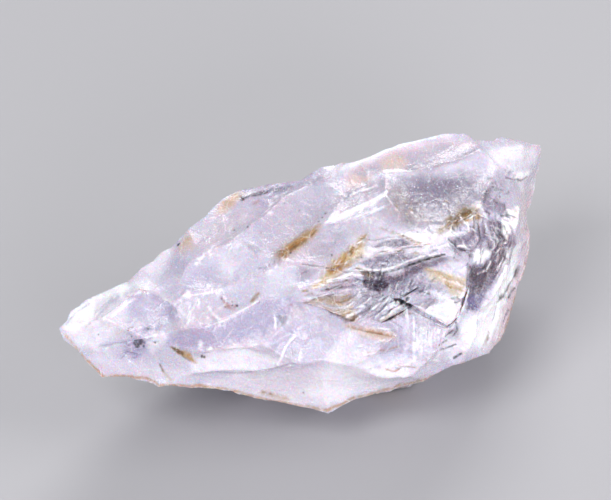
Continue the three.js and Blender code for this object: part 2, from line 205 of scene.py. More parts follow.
sky = bpy.data.worlds.new("soft sky")
bpy.context.scene.world = sky
sky.use_nodes = True
background = sky.node_tree.nodes["Background"]
background.inputs["Color"].default_value = SKY_COLOUR
background.inputs["Strength"].default_value = SKY_STRENGTH
bpy.context.scene.view_settings.view_transform = "Standard"
print("sky strength:", SKY_STRENGTH)

# %% [markdown]
# ## The stone's body
# A stone has no parts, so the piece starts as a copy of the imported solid, with its loose
# triangles merged. It could also be sculpted from a block, but then its size and its
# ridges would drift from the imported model.

# %% Pick one object alone
def pick_only(piece):
    """Leaves edit mode, deselects everything, then selects one object and makes it active."""
    if bpy.context.object and bpy.context.object.mode != "OBJECT":
        bpy.ops.object.mode_set(mode="OBJECT")
    bpy.ops.object.select_all(action="DESELECT")
    piece.select_set(True)
    bpy.context.view_layer.objects.active = piece


# %% Copy and merge the solid
MERGE_REACH = 1e-6  # metres, under which two corners are one

stone = packed.copy()
stone.data = packed.data.copy()
stone.name = "amethyst_stone"
stone.data.name = "amethyst_stone"
stone.parent = None
for key in list(stone.keys()):
    del stone[key]
bpy.context.scene.collection.objects.link(stone)
pick_only(stone)
bpy.ops.object.mode_set(mode="EDIT")
bpy.ops.mesh.select_all(action="SELECT")
bpy.ops.mesh.remove_doubles(threshold=MERGE_REACH)
bpy.ops.object.mode_set(mode="OBJECT")
print("merged stone:", len(stone.data.vertices), "points", len(stone.data.polygons), "faces")

# %% [markdown]
# ## Where the marks lie
# Veils, violet zones, stains and cracks of a real stone follow its growth and its breaks,
# so each has its own place and no pattern could put it there. They are drawn as short rows
# of pixels of the photograph and small outlines, and laid on the stone along the line of
# sight. Each mark has a pigment, and a pigment is more than a colour: it also says how
# clear the quartz is there and how many glints it has.

# %% Pigments
# name: (colour, clearness from 0 to 1, glints from 0 to 1)
PIGMENTS = {
    "violet": ("#BBB2D0", 0.3, 0.03),
    "deep violet": ("#837CAC", 0.4, 0.05),
    "grey": ("#9C95A7", 0.35, 0.4),
    "pale grey": ("#C2BBCB", 0.3, 0.2),
    "green grey": ("#B0B2B8", 0.35, 0.03),
    # near white paint for the main crack: painted light that lightens its cut groove's shadow
    "crack wall painted light": ("#F3EEF7", 0.0, 0.0),
    "mauve": ("#887991", 0.4, 0.12),
    "smoke": ("#5E4D58", 0.45, 0.05),
    "night": ("#3A3040", 0.3, 0.05),
    "white": ("#FDFCFF", 0.0, 0.1),
    "soft white": ("#EFEBF4", 0.1, 0.12),
    "rose": ("#DCC8D1", 0.2, 0.05),
    "peach": ("#DBC3B6", 0.15, 0.05),
    "cream": ("#E0D0A8", 0.1, 0.15),
    "olive": ("#97805C", 0.1, 0.08),
    "ochre": ("#B28C52", 0.05, 0.1),
    "rust": ("#9C6C3A", 0.0, 0.1),
    "umber": ("#5C4228", 0.0, 0.1),
    "red brown": ("#9C5F58", 0.05, 0.2),
    "black": ("#1D1920", 0.0, 0.0),
}
print("pigments:", len(PIGMENTS))

# %% [markdown]
# ## Broad washes
# Inside the stone hang milky veils and violet zones, each with its own soft border. Some
# washes are painted shade instead: the dark of the hollow and of the window, the shade
# under the top crest and part of the violet on the left scoop. A few white ones are painted
# highlights. Solid bodies of fog inside the quartz would show the veils truly, but they
# would be slow and noisy to render. Thin washes on the surface look the same from every
# side. Each is a (pigment, strength, feather, outline), with the feather and the outline in
# pixels.

# %% Washes of the top band
WASHES = [
    ("rose", 0.95, 8, [(350, 170), (372, 160), (400, 150), (440, 140), (468, 141), (478, 147),
                       (450, 158), (415, 166), (380, 171), (362, 182), (345, 188)]),
    ("pale grey", 0.75, 8, [(352, 172), (376, 162), (410, 151), (446, 143), (476, 147),
                            (450, 160), (412, 167), (380, 171), (364, 180)]),
    ("peach", 0.8, 10, [(380, 162), (394, 155), (408, 160), (404, 169), (384, 171)]),
    ("peach", 0.8, 8, [(346, 184), (354, 176), (370, 176), (366, 186), (350, 190)]),
    ("rose", 0.8, 12, [(335, 205), (345, 186), (362, 182), (382, 186), (352, 208), (330, 216)]),
    ("pale grey", 0.9, 12, [(330, 206), (346, 190), (364, 184), (380, 187), (354, 206)]),
    ("pale grey", 0.6, 8, [(306, 182), (330, 174), (348, 170), (336, 184), (310, 190)]),
]
print("washes so far:", len(WASHES))

# %% Washes of the upper left slope
WASHES += [
    ("rose", 0.45, 18, [(188, 250), (212, 216), (236, 206), (262, 208), (244, 232), (212, 256)]),
    ("peach", 0.9, 6, [(214, 214), (222, 200), (236, 192), (246, 194), (238, 202), (226, 212)]),
    ("ochre", 0.4, 6, [(218, 210), (225, 200), (236, 194), (242, 196), (232, 204)]),
    ("peach", 0.9, 6, [(178, 252), (184, 238), (194, 233), (192, 246), (183, 254)]),
    ("ochre", 0.35, 5, [(179, 249), (184, 240), (191, 237), (188, 246)]),
    ("pale grey", 0.55, 20, [(262, 218), (288, 196), (326, 186), (340, 200), (322, 222),
                             (300, 240), (272, 252), (252, 244)]),
    ("green grey", 0.5, 3, [(243, 240), (263, 249), (255, 257)]),
    ("violet", 0.35, 16, [(150, 276), (176, 254), (214, 262), (222, 282), (190, 292), (160, 290)]),
]
print("washes so far:", len(WASHES))

# %% Washes of the left blade
WASHES += [
    # The white washes of the tip are partly milky veil, partly a painted highlight of the lit tip.
    ("soft white", 0.9, 12, [(60, 328), (84, 302), (118, 290), (134, 300), (120, 330), (96, 350),
                             (78, 348)]),
    ("white", 0.8, 8, [(60, 326), (72, 307), (88, 298), (108, 288), (124, 281), (134, 285),
                       (114, 301), (94, 320), (74, 331)]),
    # The scoop's violet and pale grey washes: partly its own violet, partly painted shade.
    ("violet", 0.35, 6, [(96, 298), (118, 292), (120, 300), (104, 312), (94, 312)]),
    ("pale grey", 0.3, 12, [(104, 320), (120, 302), (142, 291), (162, 300), (170, 318),
                            (166, 331), (140, 337), (120, 334)]),
    ("violet", 0.5, 12, [(128, 306), (144, 294), (164, 302), (172, 320), (164, 330), (138, 332)]),
    ("violet", 0.7, 6, [(127, 299), (134, 291), (144, 296), (140, 303), (130, 305)]),
    ("violet", 0.75, 6, [(144, 292), (162, 297), (176, 306), (181, 322), (170, 318), (158, 305)]),
    ("violet", 0.75, 12, [(124, 338), (136, 332), (150, 338), (148, 354), (132, 358), (122, 352)]),
    ("violet", 0.35, 14, [(88, 356), (118, 348), (150, 356), (156, 372), (104, 374)]),
    ("soft white", 0.5, 14, [(92, 356), (130, 362), (170, 366), (200, 376), (180, 384),
                             (106, 374)]),
    ("rose", 0.4, 8, [(90, 362), (106, 374), (160, 380), (160, 372), (112, 366)]),
]
print("washes so far:", len(WASHES))

# %% Washes of the violet facet
WASHES += [
    ("violet", 0.85, 9, [(165, 343), (182, 329), (220, 323), (240, 314), (262, 302), (292, 298),
                         (304, 303), (292, 316), (270, 334), (240, 344), (206, 348), (184, 350)]),
    ("violet", 0.35, 12, [(262, 346), (282, 336), (306, 322), (322, 330), (300, 352), (276, 356)]),
    ("green grey", 0.55, 3, [(277, 316), (290, 318), (281, 330)]),
    ("green grey", 0.4, 5, [(284, 355), (292, 349), (299, 354), (290, 362)]),
    ("pale grey", 0.5, 5, [(266, 350), (274, 344), (280, 346), (272, 352)]),
]
print("washes so far:", len(WASHES))

# %% Washes of the bright band and the bevel
WASHES += [
    ("soft white", 0.9, 9, [(188, 362), (212, 354), (240, 352), (268, 355), (284, 361), (262, 370),
                            (215, 373), (192, 372)]),
    ("soft white", 0.7, 14, [(196, 380), (250, 374), (320, 366), (352, 372), (352, 398),
                             (328, 410), (262, 398)]),
    ("rose", 0.3, 14, [(200, 382), (250, 376), (320, 368), (352, 400), (328, 411), (262, 398)]),
    ("soft white", 0.55, 16, [(340, 350), (420, 356), (440, 366), (400, 385), (352, 396),
                              (332, 380)]),
    ("white", 0.5, 10, [(300, 390), (330, 384), (352, 392), (330, 406)]),
]
print("washes so far:", len(WASHES))

# %% Washes of the centre
WASHES += [
    ("rose", 0.4, 9, [(304, 250), (320, 238), (336, 244), (334, 256), (316, 263), (304, 260)]),
    ("grey", 0.3, 9, [(308, 250), (322, 241), (334, 246), (328, 257), (314, 261)]),
    ("pale grey", 0.55, 10, [(330, 226), (360, 212), (386, 200), (388, 214), (350, 238),
                              (334, 246)]),
    ("pale grey", 0.5, 14, [(300, 240), (330, 226), (360, 222), (388, 226), (380, 240),
                            (350, 244), (330, 262), (306, 262)]),
    ("rose", 0.3, 8, [(364, 214), (388, 204), (394, 216), (376, 226)]),
    ("grey", 0.5, 6, [(298, 267), (321, 268), (312, 277), (303, 283), (297, 277)]),
    ("soft white", 0.25, 8, [(268, 274), (292, 262), (298, 280), (280, 294), (262, 296)]),
]
print("washes so far:", len(WASHES))

# %% Washes of the frosted shoulder
WASHES += [
    ("pale grey", 0.95, 14, [(378, 176), (412, 172), (462, 168), (490, 176), (482, 200),
                             (462, 216), (440, 228), (410, 230), (390, 222), (384, 200)]),
    ("grey", 0.9, 20, [(400, 182), (444, 174), (478, 182), (468, 204), (442, 220), (406, 218),
                       (394, 198)]),
    ("mauve", 0.45, 18, [(410, 188), (446, 180), (470, 190), (456, 206), (430, 214), (408, 208)]),
    ("olive", 0.3, 16, [(386, 186), (400, 184), (414, 208), (436, 224), (406, 226), (390, 214)]),
    # This mauve band is painted shade under the top crest.
    ("mauve", 0.55, 7, [(408, 165), (446, 160), (466, 152), (478, 147), (470, 156), (450, 165),
                        (430, 170), (404, 171)]),
    ("soft white", 0.25, 8, [(434, 172), (448, 164), (462, 166), (456, 178), (440, 180)]),
]
print("washes so far:", len(WASHES))

# %% Washes of the waves under the shoulder
WASHES += [
    ("grey", 0.8, 5, [(370, 247), (384, 239.5), (404, 238), (413, 242), (398, 247), (382, 249)]),
    ("grey", 0.75, 5, [(378, 268), (396, 253), (418, 248), (436, 250), (424, 258), (402, 267)]),
    ("mauve", 0.8, 4, [(366, 245), (384, 240), (404, 239), (410, 242), (392, 246), (374, 248)]),
    ("soft white", 0.6, 4, [(398, 251), (424, 243), (444, 248), (432, 254), (410, 257)]),
    ("grey", 0.9, 5, [(360, 262), (378, 254), (402, 252), (428, 256), (408, 264), (392, 269),
                      (370, 270)]),
]
print("washes so far:", len(WASHES))

# %% Washes of the hollow
WASHES += [
    ("mauve", 0.8, 5, [(362, 272), (392, 273.5), (412, 264), (446, 257), (447, 262), (430, 268),
                        (414, 276), (410, 288), (392, 294), (366, 292)]),
    # Smoke and night here: painted shade in the deep of the hollow; the next smoke wash is a
    # painted soft shadow along the ledge.
    ("smoke", 0.95, 4, [(362, 272), (384, 273), (386, 290), (374, 292), (364, 282)]),
    ("night", 0.8, 4, [(364, 273), (384, 275), (385, 289), (373, 291), (369, 281)]),
    ("smoke", 0.6, 6, [(388, 275), (410, 268), (426, 262), (424, 268), (404, 278), (390, 282)]),
    ("pale grey", 0.9, 5, [(408, 276), (424, 270), (438, 280), (444, 294), (424, 290),
                           (406, 292)]),
    ("pale grey", 0.6, 5, [(410, 306), (420, 300), (440, 296), (450, 300), (432, 308),
                           (420, 314)]),
    ("grey", 0.55, 8, [(352, 278), (372, 276), (374, 292), (392, 300), (384, 316), (360, 318),
                       (348, 300)]),
    ("white", 0.9, 4, [(422, 314), (434, 306), (444, 304), (456, 300), (458, 314), (450, 322),
                       (438, 322)]),
    ("soft white", 0.9, 5, [(436, 292), (450, 294), (452, 302), (438, 302)]),
    ("cream", 0.8, 6, [(424, 268), (436, 270), (452, 274), (465, 279), (466, 289), (460, 297),
                        (452, 294), (444, 286), (428, 277)]),
    ("soft white", 0.7, 4, [(446, 262), (466, 262), (467, 274), (452, 270)]),
    ("pale grey", 0.4, 6, [(424, 268), (466, 280), (466, 296), (444, 290)]),
    ("ochre", 0.35, 6, [(438, 278), (448, 276), (461, 281), (463, 290), (452, 291), (442, 285)]),
]
print("washes so far:", len(WASHES))

# %% Washes of the steps beside the window
WASHES += [
    ("mauve", 0.8, 8, [(446, 240), (462, 236), (480, 226), (490, 236), (476, 248), (458, 256)]),
    ("mauve", 0.7, 6, [(480, 202), (492, 198), (506, 203), (504, 213), (486, 211)]),
    ("smoke", 0.6, 4, [(481, 198), (486, 190), (492, 187), (490, 196), (484, 203)]),
    ("pale grey", 0.35, 10, [(486, 172), (510, 172), (520, 186), (510, 200), (492, 190)]),
]
print("washes so far:", len(WASHES))

# %% Washes of the window
WASHES += [
    # The window's mauve and smoke washes are painted shade on its clear quartz.
    ("mauve", 0.9, 6, [(488, 218), (508, 224), (513, 240), (508, 262), (492, 286), (476, 310),
                       (466, 310), (464, 300), (470, 282), (468, 264), (486, 264), (492, 244)]),
    ("smoke", 0.4, 8, [(486, 222), (508, 226), (513, 242), (508, 262), (494, 278), (484, 262)]),
    ("smoke", 0.7, 6, [(468, 270), (480, 278), (490, 276), (484, 294), (470, 300)]),
    ("smoke", 0.95, 4, [(469, 266), (478, 268), (492, 262), (493, 272), (482, 280), (471, 284)]),
    ("smoke", 0.75, 4, [(498, 229), (508, 229), (508, 241), (500, 241)]),
    ("smoke", 0.6, 4, [(494, 246), (505, 246), (504, 262), (494, 272), (496, 256)]),
    ("deep violet", 0.9, 5, [(466, 300), (478, 292), (486, 292), (478, 308), (468, 311)]),
    ("white", 1.0, 4, [(475, 254), (477, 248), (485, 247), (490, 252), (488, 259), (481, 263),
                       (475, 260)]),
    ("white", 0.95, 3, [(502, 229), (505, 212), (519, 205), (517, 224), (508, 240)]),
]
print("washes so far:", len(WASHES))

# %% Washes of the right end
WASHES += [
    # The white at the right corner is partly milky quartz, partly a painted highlight of the lit
    # corner.
    ("white", 1.0, 6, [(504, 150), (520, 145), (527, 152), (520, 160), (506, 159)]),
    ("soft white", 0.8, 8, [(486, 152), (506, 145), (536, 148), (538, 164), (512, 172),
                            (490, 166)]),
    ("white", 0.85, 5, [(512, 171), (531, 170), (528, 177), (515, 180)]),
    ("white", 0.9, 8, [(508, 248), (520, 244), (516, 286), (503, 320), (484, 344), (464, 350),
                       (470, 326), (492, 298)]),
    ("rose", 0.8, 6, [(520, 190), (529, 192), (532, 244), (520, 290), (508, 328), (492, 352),
                      (488, 346), (508, 300), (522, 250)]),
    ("white", 0.5, 12, [(462, 318), (490, 312), (500, 330), (484, 352), (452, 358), (446, 346)]),
    ("soft white", 0.6, 12, [(418, 326), (452, 332), (472, 330), (476, 345), (440, 360),
                             (412, 350)]),
    ("mauve", 0.45, 6, [(448, 328), (458, 326), (460, 338), (450, 340)]),
    ("violet", 0.4, 10, [(376, 342), (412, 338), (418, 358), (384, 362)]),
]
print("washes so far:", len(WASHES))

# %% Washes of the fan of stains
WASHES += [
    ("rose", 0.5, 6, [(312, 293), (330, 284), (350, 280), (354, 292), (330, 296)]),
    ("mauve", 0.35, 6, [(320, 290), (336, 284), (352, 282), (354, 292), (334, 294)]),
    ("olive", 0.75, 5, [(304, 300), (322, 297), (346, 295), (356, 299), (340, 303), (318, 304)]),
    ("olive", 0.9, 5, [(322, 305), (338, 306), (352, 312), (358, 320), (342, 317)]),
    ("olive", 0.5, 5, [(309, 288), (322, 276), (334, 270), (342, 274), (326, 281)]),
    ("cream", 0.4, 5, [(346, 262), (352, 250), (364, 240), (366, 250), (356, 262)]),
    ("cream", 0.7, 5, [(310, 288), (319, 280), (331, 273), (342, 273), (334, 280), (321, 286)]),
    ("olive", 0.25, 8, [(288, 304), (302, 303), (304, 316), (292, 318)]),
]
print("washes so far:", len(WASHES))

# %% [markdown]
# ## Narrow marks
# Iron stains, open cracks, white edges and the warm rim are all narrow. A brush line of a
# given width along a short path draws each of them, and a third number in a spot swells
# or thins the line there. Each is a (pigment, strength, width, feather, path), in pixels.

# %% Lines of the rim
LINES = [
    ("rose", 0.9, 7, 7, [(530, 190), (531, 220), (531, 250), (513, 304), (503, 336), (490, 354)]),
    ("ochre", 0.6, 3, 2.5, [(66, 336), (86, 360), (103, 376), (146, 378), (160, 385), (200, 386),
                            (232, 391), (262, 399), (296, 405), (328, 411), (352, 399),
                            (380, 391), (420, 382), (463, 364), (490, 355), (503, 338)]),
    ("ochre", 0.45, 2.5, 2.5, [(503, 338), (513, 306), (528, 262), (532, 236)]),
    ("umber", 0.5, 1.6, 1.6, [(530, 252), (522, 284), (512, 308)]),
    ("rust", 0.5, 2.0, 2.6, [(84, 357), (103, 375), (146, 377.5), (160, 384.5), (200, 385.5),
                            (232, 390), (262, 398), (296, 404), (328, 410), (352, 398),
                            (380, 390), (420, 381), (463, 363), (490, 354), (502, 338)]),
    ("rust", 0.6, 2, 2, [(502, 338), (512, 306), (521, 282), (530, 250), (531, 216)]),
]
print("narrow marks so far:", len(LINES))

# %% Lines of the strip under the top rim
LINES += [
    # Grey, smoke and pale grey lines: painted shade on the strip under the rim. Soft white and
    # white lines: painted highlights along the rim's edge.
    ("grey", 0.9, 4, 2.5, [(243, 198), (256, 193.5), (268, 191), (290, 186.5)]),
    ("smoke", 0.7, 2.4, 3, [(241, 199), (252, 194.5), (266, 191.5)]),
    ("pale grey", 0.7, 4, 3, [(290, 187), (310, 181), (330, 176)]),
    ("soft white", 0.5, 1.6, 2, [(246, 195), (262, 189), (284, 184)]),
    ("white", 0.8, 1.8, 1.5, [(350, 166), (372, 157), (398, 146), (436, 136)]),
    ("rust", 0.5, 3, 3, [(254, 204), (258, 201)]),
]
print("narrow marks so far:", len(LINES))

# %% White edges and streaks
LINES += [
    # These white and soft white lines are painted highlights: sharp edges, a bright streak and
    # sparkles that catch the light.
    ("white", 1.0, 5.5, 2.5, [(326, 222, 0.3), (342, 215, 0.9), (356, 209, 1.0), (372, 202, 0.8),
                            (387, 192, 0.4)]),
    ("white", 0.5, 1.8, 1.5, [(356, 217), (370, 212), (384, 206)]),
    ("white", 0.8, 1.6, 1.5, [(350, 196), (362, 190), (376, 186)]),
    ("white", 0.9, 1.8, 1.6, [(384, 171.5), (396, 170.5), (410, 170)]),
    ("soft white", 0.8, 2.5, 2.5, [(206, 327), (220, 323), (230, 318), (240, 311), (258, 300)]),
    ("white", 0.8, 2.2, 2, [(188, 324), (190, 311), (198, 300)]),
    ("white", 0.6, 1.8, 1.6, [(184, 296), (200, 294), (222, 290)]),
    ("white", 0.7, 3, 2.5, [(208, 306), (214, 314), (220, 320)]),
    ("soft white", 0.6, 3, 3, [(160, 296), (176, 306), (192, 322)]),
    ("white", 0.5, 2.5, 2.5, [(112, 316), (124, 306), (134, 299)]),
    ("white", 0.6, 2, 2, [(128, 343), (142, 339), (156, 335)]),
    ("white", 0.8, 2, 1.6, [(314, 288), (326, 282), (340, 278), (352, 275.5)]),
    ("white", 0.7, 2.4, 2, [(278, 364), (284, 350), (294, 336)]),
    ("soft white", 0.7, 3, 3, [(294, 336), (304, 326), (316, 322)]),
    ("white", 0.9, 1.6, 1.5, [(274.5, 316), (275.5, 328)]),
    ("soft white", 0.6, 3, 3, [(230, 341), (238, 345), (248, 347), (258, 343)]),
    ("white", 0.8, 2, 2, [(300, 352), (299, 360)]),
    ("white", 0.9, 1.8, 1.6, [(494, 234), (499, 245), (506, 242)]),
    ("white", 0.8, 2, 1.8, [(490, 262), (486, 270), (478, 274)]),
    ("soft white", 0.8, 2.2, 2, [(480, 216), (486, 228), (490, 240)]),
    ("white", 1.0, 6, 2, [(474, 209), (478, 204)]),
    ("white", 0.7, 2, 1.8, [(358, 268), (376, 270.5), (392, 268), (410, 260), (424, 256)]),
    ("white", 0.8, 1.6, 1.5, [(396, 291), (399, 280)]),
    ("white", 0.8, 1.6, 1.5, [(401, 290), (404, 279)]),
    ("white", 0.6, 1.6, 1.5, [(388, 292), (390, 284)]),
    ("white", 0.9, 1.8, 1.6, [(404, 304), (392, 313), (380, 321)]),
    ("white", 0.8, 1.6, 1.5, [(396, 302), (386, 309), (377, 314)]),
    ("white", 0.7, 1.6, 1.5, [(390, 299), (380, 304), (371, 308)]),
    ("white", 0.8, 2, 1.8, [(431, 307), (420, 314)]),
    ("soft white", 0.8, 3, 2.5, [(440, 302), (456, 297)]),
    ("white", 0.8, 2.4, 2, [(466, 296), (460, 312)]),
]
print("narrow marks so far:", len(LINES))

# %% Grey and violet lines
LINES += [
    ("violet", 0.4, 2, 3, [(104, 346), (118, 344), (134, 341)]),
    ("deep violet", 0.5, 1.5, 1.6, [(121, 358), (128, 352), (140, 355), (134, 358)]),
    ("violet", 0.4, 1.6, 2, [(95, 314), (104, 304), (112, 298)]),
    ("violet", 0.5, 1.6, 2, [(102, 316), (110, 311)]),
    ("violet", 0.5, 2.2, 2.5, [(86, 326), (97, 317), (108, 304), (118, 296)]),
    ("violet", 0.5, 1.6, 2, [(66, 324), (76, 312), (90, 304)]),
    ("violet", 0.5, 3, 5, [(100, 346), (122, 342), (140, 338)]),
    ("soft white", 0.7, 2.4, 2.4, [(104, 314), (118, 303), (130, 295), (140, 292)]),
    ("night", 0.7, 2.0, 1.8, [(134.5, 345), (137, 342), (142, 341), (145, 343.5)]),
    ("smoke", 0.5, 1.6, 1.8, [(129, 328), (133, 327.5)]),
    ("smoke", 0.5, 1.8, 2, [(145, 328), (149, 327)]),
    ("grey", 0.55, 1.6, 2, [(192, 374), (216, 373), (238, 374), (258, 372), (278, 368),
                            (298, 363)]),
    ("grey", 0.5, 2, 2, [(258, 268), (266, 268.5)]),
    ("mauve", 0.5, 2.5, 3, [(306, 303), (322, 308), (346, 322)]),
    ("night", 0.5, 1.4, 1.6, [(371, 240), (388, 236.5), (404, 237), (412, 240)]),
    ("smoke", 0.6, 1.5, 1.6, [(380, 268), (392, 256), (406, 249), (422, 246)]),
    ("mauve", 0.7, 2, 2, [(322, 290), (338, 288), (354, 286)]),
    ("mauve", 0.7, 2, 2, [(330, 283), (350, 281), (362, 280)]),
    ("smoke", 0.7, 1.5, 1.6, [(326, 288.5), (344, 286.5)]),
    ("umber", 0.8, 1.6, 1.5, [(300, 291), (308, 291.3)]),
    ("umber", 0.6, 1.4, 1.6, [(325, 289), (342, 288)]),
    ("umber", 0.7, 1.6, 1.6, [(304, 303), (314, 299), (324, 295.5), (334, 294.5)]),
    ("umber", 0.85, 1.8, 1.5, [(325, 309.5), (334, 313.5), (343, 317)]),
    ("umber", 0.9, 3.6, 2, [(346, 320.5, 0.5), (352, 319, 1.0), (357, 318, 0.7)]),
    ("rust", 0.4, 1.6, 1.8, [(318, 317.5), (330, 322)]),
    ("mauve", 0.8, 2.5, 2.5, [(482, 218), (484, 236), (480, 248)]),
    ("mauve", 0.7, 2.5, 2, [(512, 228), (514, 244), (508, 264)]),
]
print("narrow marks so far:", len(LINES))

# %% Iron stains
LINES += [
    ("olive", 0.6, 16, 11, [(280, 255, 0.8), (290, 248, 1.0), (306, 236, 0.8), (318, 227, 0.3)]),
    ("ochre", 0.95, 10, 8, [(283, 254, 0.9), (290, 248, 1.1), (300, 241, 1.0), (311, 233, 0.7),
                           (319, 226, 0.3)]),
    ("rust", 0.7, 6, 5, [(283, 254), (296, 244), (310, 234, 0.5)]),
    ("umber", 0.9, 7, 5, [(283, 254), (291, 250, 0.7)]),
    ("umber", 0.5, 3, 3, [(292, 250), (306, 240)]),
    ("olive", 0.5, 14, 10, [(340, 268), (352, 256), (360, 248, 0.6)]),
    ("ochre", 0.95, 13, 8, [(332, 269, 0.9), (338, 265, 1.1), (344, 260, 1.0), (349, 253, 0.6),
                           (357, 244, 0.4), (366, 235, 0.25)]),
    ("rust", 1.0, 9, 5, [(332, 269.5), (340, 265), (346, 259, 0.6)]),
    ("umber", 0.7, 1.6, 1.6, [(350, 252), (358, 243), (366, 235)]),
    ("umber", 0.6, 2, 2, [(333, 270), (344, 262)]),
    ("olive", 0.5, 8, 8, [(350, 262), (362, 254)]),
    ("cream", 0.6, 6, 5, [(346, 260), (360, 250)]),
    ("olive", 0.95, 17, 9, [(440, 230, 0.4), (454, 220, 0.9), (466, 214, 1.0), (474, 212, 0.6)]),
    ("umber", 0.9, 10, 6, [(445, 228, 0.4), (457, 220, 1.0), (468, 214, 1.0)]),
    ("ochre", 0.95, 7, 4, [(467, 217), (478, 217)]),
    ("umber", 0.85, 2, 2, [(470, 214), (474, 218), (474, 228), (473, 238)]),
    ("umber", 0.75, 1.8, 1.8, [(477.5, 211), (478.5, 222), (479.5, 231)]),
    ("ochre", 0.6, 1.8, 2, [(468, 220), (470, 232)]),
    ("ochre", 0.7, 3, 3, [(315, 287), (323, 280), (331, 273)]),
    ("umber", 0.7, 2, 2, [(325, 310), (336, 315), (345, 319), (356, 320.5)]),
    ("ochre", 0.5, 3, 3, [(328, 302), (342, 304), (352, 310)]),
    ("peach", 0.9, 10, 8, [(346, 326, 0.5), (372, 332), (392, 337, 0.6)]),
    ("rust", 0.8, 5, 5, [(348, 327, 0.4), (360, 329, 0.7), (373, 332, 1.1), (384, 334, 1.0),
                          (394, 336, 0.3)]),
    ("umber", 0.6, 1.8, 2.4, [(362, 330.5), (372, 332.5), (382, 334)]),
    ("peach", 0.6, 6, 5, [(362, 334), (388, 340)]),
    ("rust", 0.7, 1.5, 1.8, [(368, 352), (386, 350), (399, 346)]),
    ("rust", 0.8, 2, 2, [(386, 369), (394, 371), (400, 368)]),
    ("rust", 0.7, 1.4, 1.6, [(398, 365), (414, 368)]),
    ("umber", 0.85, 3.5, 2.5, [(378, 322, 0.5), (394, 318, 0.8), (410, 313, 0.8),
                               (416, 312, 0.4)]),
    ("olive", 0.6, 5, 4, [(386, 318), (402, 312)]),
    ("ochre", 0.9, 6, 3, [(172, 348, 0.3), (180, 352, 0.9), (188, 355, 1.0), (195, 363, 0.4)]),
    ("umber", 0.9, 3.5, 2.5, [(171, 347, 0.4), (178, 351, 1.2), (182, 353, 1.0)]),
    ("umber", 0.6, 1.5, 1.6, [(182, 355), (190, 361)]),
    ("umber", 0.8, 2, 2, [(160, 365), (163, 371)]),
    ("ochre", 0.5, 2, 2.5, [(163, 371), (171, 381)]),
    ("red brown", 0.75, 3.4, 3, [(221, 297, 0.4), (224, 302, 0.7), (227, 306, 1.3),
                                 (232, 308.5, 1.1), (236, 306.5, 0.7)]),
    ("umber", 0.8, 2.6, 2, [(251, 301), (254, 297.5), (258, 293.5)]),
    ("ochre", 0.5, 4, 3, [(252, 301), (258, 294)]),
    ("ochre", 0.6, 4, 4, [(262, 393), (274, 395.5), (287, 399)]),
    ("umber", 0.5, 1.6, 2, [(262, 392.5), (272, 394.5)]),
    ("rust", 0.5, 2, 2.5, [(140, 290), (145, 291)]),
    ("olive", 0.6, 3, 3, [(382, 229), (396, 233), (410, 239), (418, 243)]),
    ("olive", 0.6, 6, 5, [(357, 270), (370, 274)]),
    ("umber", 0.7, 3.5, 3, [(357, 269.5), (370, 273)]),
    ("ochre", 0.6, 3, 2.5, [(426, 269), (438, 273), (446, 279), (450, 288)]),
    ("ochre", 0.5, 2.5, 2, [(440, 274), (450, 277), (464, 281)]),
    ("ochre", 0.4, 2, 2, [(446, 284), (454, 288), (462, 288)]),
    ("white", 0.6, 2, 2, [(448, 281), (456, 282)]),
    ("night", 0.7, 1.6, 1.5, [(303, 263.6), (311, 264), (318, 265)]),
    ("umber", 0.8, 1.8, 1.8, [(317, 265), (326, 266.5), (334, 270)]),
    ("peach", 0.5, 2.5, 2.5, [(516, 210), (511, 222), (508, 238)]),
]
print("narrow marks so far:", len(LINES))

